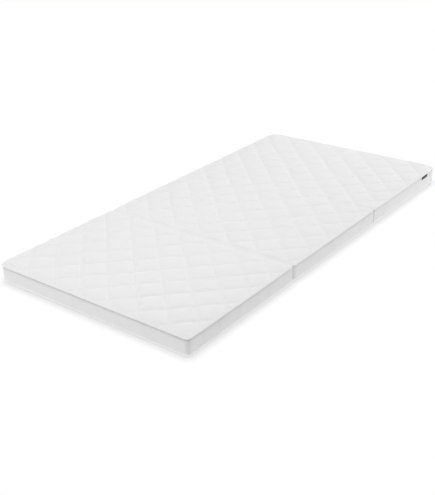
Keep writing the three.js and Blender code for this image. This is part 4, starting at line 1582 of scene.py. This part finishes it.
class MATTRESS_OT_stage(Dresser):
    """Set the camera, the pale floor and the soft light"""

    bl_idname = "mattress.stage"
    bl_label = "Set stage"

    def execute(self, context):
        stage = settings("stage")
        scene = context.scene
        camera = placed("camera", bpy.data.cameras.new("camera"))
        camera.data.lens = stage.lens
        camera.data.sensor_width = 36
        camera.data.clip_end = 50
        flat = math.cos(stage.tilt)
        look = Vector((flat * math.cos(stage.azimuth), flat * math.sin(stage.azimuth),
                       -math.sin(stage.tilt)))
        turn = look.to_track_quat("-Z", "Y").to_matrix().to_4x4() @ Matrix.Rotation(stage.roll, 4, "Z")
        camera.matrix_world = Matrix.Translation(Vector(stage.eye)) @ turn
        scene.camera = camera
        scene.view_settings.view_transform = "Standard"
        self.floor(stage)
        self.world(scene, stage)
        for name, place, size in (
            ("key", (2.0, 0.2, 1.8), 1.4),
            ("fill", (-0.9, 0.1, 2.2), 1.6),
            ("side", (1.9, -1.8, 0.8), 1.2),
            ("front", (-1.6, 1.8, 0.65), 1.2),
        ):
            self.lamp(name, place, size, getattr(stage, name))
        return {"FINISHED"}

    def floor(self, stage):
        """White to the camera, but for a soft shadow painted by ambient occlusion where something touches
        it, and pale to the light, onto which it sends up a painted glow.
        """
        reach, painted_shadow_reach, painted_shadow_glow, white = 8.0, 0.02, 0.66, 1.0
        shader = Shader("pale_floor", (0.2, 0.2, 0.2), 0.9)
        # painted light: this glow lights the mattress from below, though the floor is no lamp
        shader.surface.inputs["Emission Color"].default_value = (1, 1, 1, 1)
        shader.surface.inputs["Emission Strength"].default_value = stage.floor_glow
        light = shader.node("ShaderNodeLightPath")
        # painted contact shadow: ambient occlusion near the mattress mixes the seen glow from the dimmer
        # strength up to white
        open_share = shader.node("ShaderNodeAmbientOcclusion", None, {"Distance": painted_shadow_reach})
        glows = [shader.node("ShaderNodeEmission", None, {"Color": (1, 1, 1, 1), "Strength": strength})
                 for strength in (painted_shadow_glow, white)]
        seen = shader.node("ShaderNodeMixShader", None,
                           [open_share.outputs["AO"], *(glow.outputs[0] for glow in glows)])
        mix = shader.node("ShaderNodeMixShader", None,
                          [light.outputs["Is Camera Ray"], shader.surface.outputs[0], seen.outputs[0]])
        output = shader.tree.nodes["Material Output"]
        shader.tree.links.new(mix.outputs[0], output.inputs["Surface"])
        corners = [(-reach, -reach, 0), (reach, -reach, 0), (reach, reach, 0), (-reach, reach, 0)]
        ground = piece("floor", corners, [(0, 1, 2, 3)], shader.material, smooth=False)

    def world(self, scene, stage):
        """White where the camera sees it, also in glass and gloss, and dim as a light."""
        world = bpy.data.worlds.new("studio")
        scene.world = world
        world.use_nodes = True
        nodes, links = world.node_tree.nodes, world.node_tree.links
        background = nodes["Background"]
        background.inputs["Color"].default_value = (1, 1, 1, 1)
        light = nodes.new("ShaderNodeLightPath")
        seen = light.outputs["Is Camera Ray"]
        for ray in ("Is Transmission Ray", "Is Glossy Ray"):
            either = nodes.new("ShaderNodeMath")
            either.operation = "MAXIMUM"
            links.new(seen, either.inputs[0])
            links.new(light.outputs[ray], either.inputs[1])
            seen = either.outputs[0]
        level = nodes.new("ShaderNodeMix")
        level.inputs[2].default_value = stage.ambient
        level.inputs[3].default_value = 1.0
        links.new(seen, level.inputs[0])
        links.new(level.outputs[0], background.inputs["Strength"])

    def lamp(self, name, place, size, power):
        """A round soft lamp that points at the mattress."""
        light = bpy.data.lights.new(name, "AREA")
        light.shape = "DISK"
        light.size = size
        light.energy = power
        lamp = placed(name, light)
        target = Vector((0.1, 0, 0))
        look = target - Vector(place)
        lamp.matrix_world = Matrix.Translation(place) @ look.to_track_quat("-Z", "Y").to_matrix().to_4x4()


OPERATORS = (
    MATTRESS_OT_materials,
    MATTRESS_OT_quilts,
    MATTRESS_OT_borders,
    MATTRESS_OT_seams,
    MATTRESS_OT_underside,
    MATTRESS_OT_fillings,
    MATTRESS_OT_folds,
    MATTRESS_OT_zips,
    MATTRESS_OT_label,
    MATTRESS_OT_stage,
)


class MATTRESS_PT_panel(bpy.types.Panel):
    """The sidebar's list of the mattress's settings and steps"""

    bl_label = "Folding cot mattress"
    bl_idname = "MATTRESS_PT_panel"
    bl_space_type = "VIEW_3D"
    bl_region_type = "UI"
    bl_category = "Mattress"

    def draw(self, context):
        for name, group in SETTINGS.items():
            box = self.layout.box()
            box.label(text=name.capitalize())
            for prop in group.__annotations__:
                box.prop(settings(name), prop)
        for operator in OPERATORS:
            self.layout.operator(operator.bl_idname)


def register():
    """Makes the settings, operators and panel known."""
    for group in SETTINGS.values():
        bpy.utils.register_class(group)
    for name, group in SETTINGS.items():
        setattr(bpy.types.Scene, "mattress_" + name, bpy.props.PointerProperty(type=group))
    for operator in OPERATORS:
        bpy.utils.register_class(operator)
    bpy.utils.register_class(MATTRESS_PT_panel)


def unregister():
    """Takes them out again."""
    bpy.utils.unregister_class(MATTRESS_PT_panel)
    for operator in reversed(OPERATORS):
        bpy.utils.unregister_class(operator)
    for name in SETTINGS:
        delattr(bpy.types.Scene, "mattress_" + name)
    for group in reversed(SETTINGS.values()):
        bpy.utils.unregister_class(group)


def main():
    """Makes the whole scene."""
    register()
    for operator in OPERATORS:
        group, name = operator.bl_idname.split(".")
        getattr(getattr(bpy.ops, group), name)()


if __name__ == "__main__":
    main()
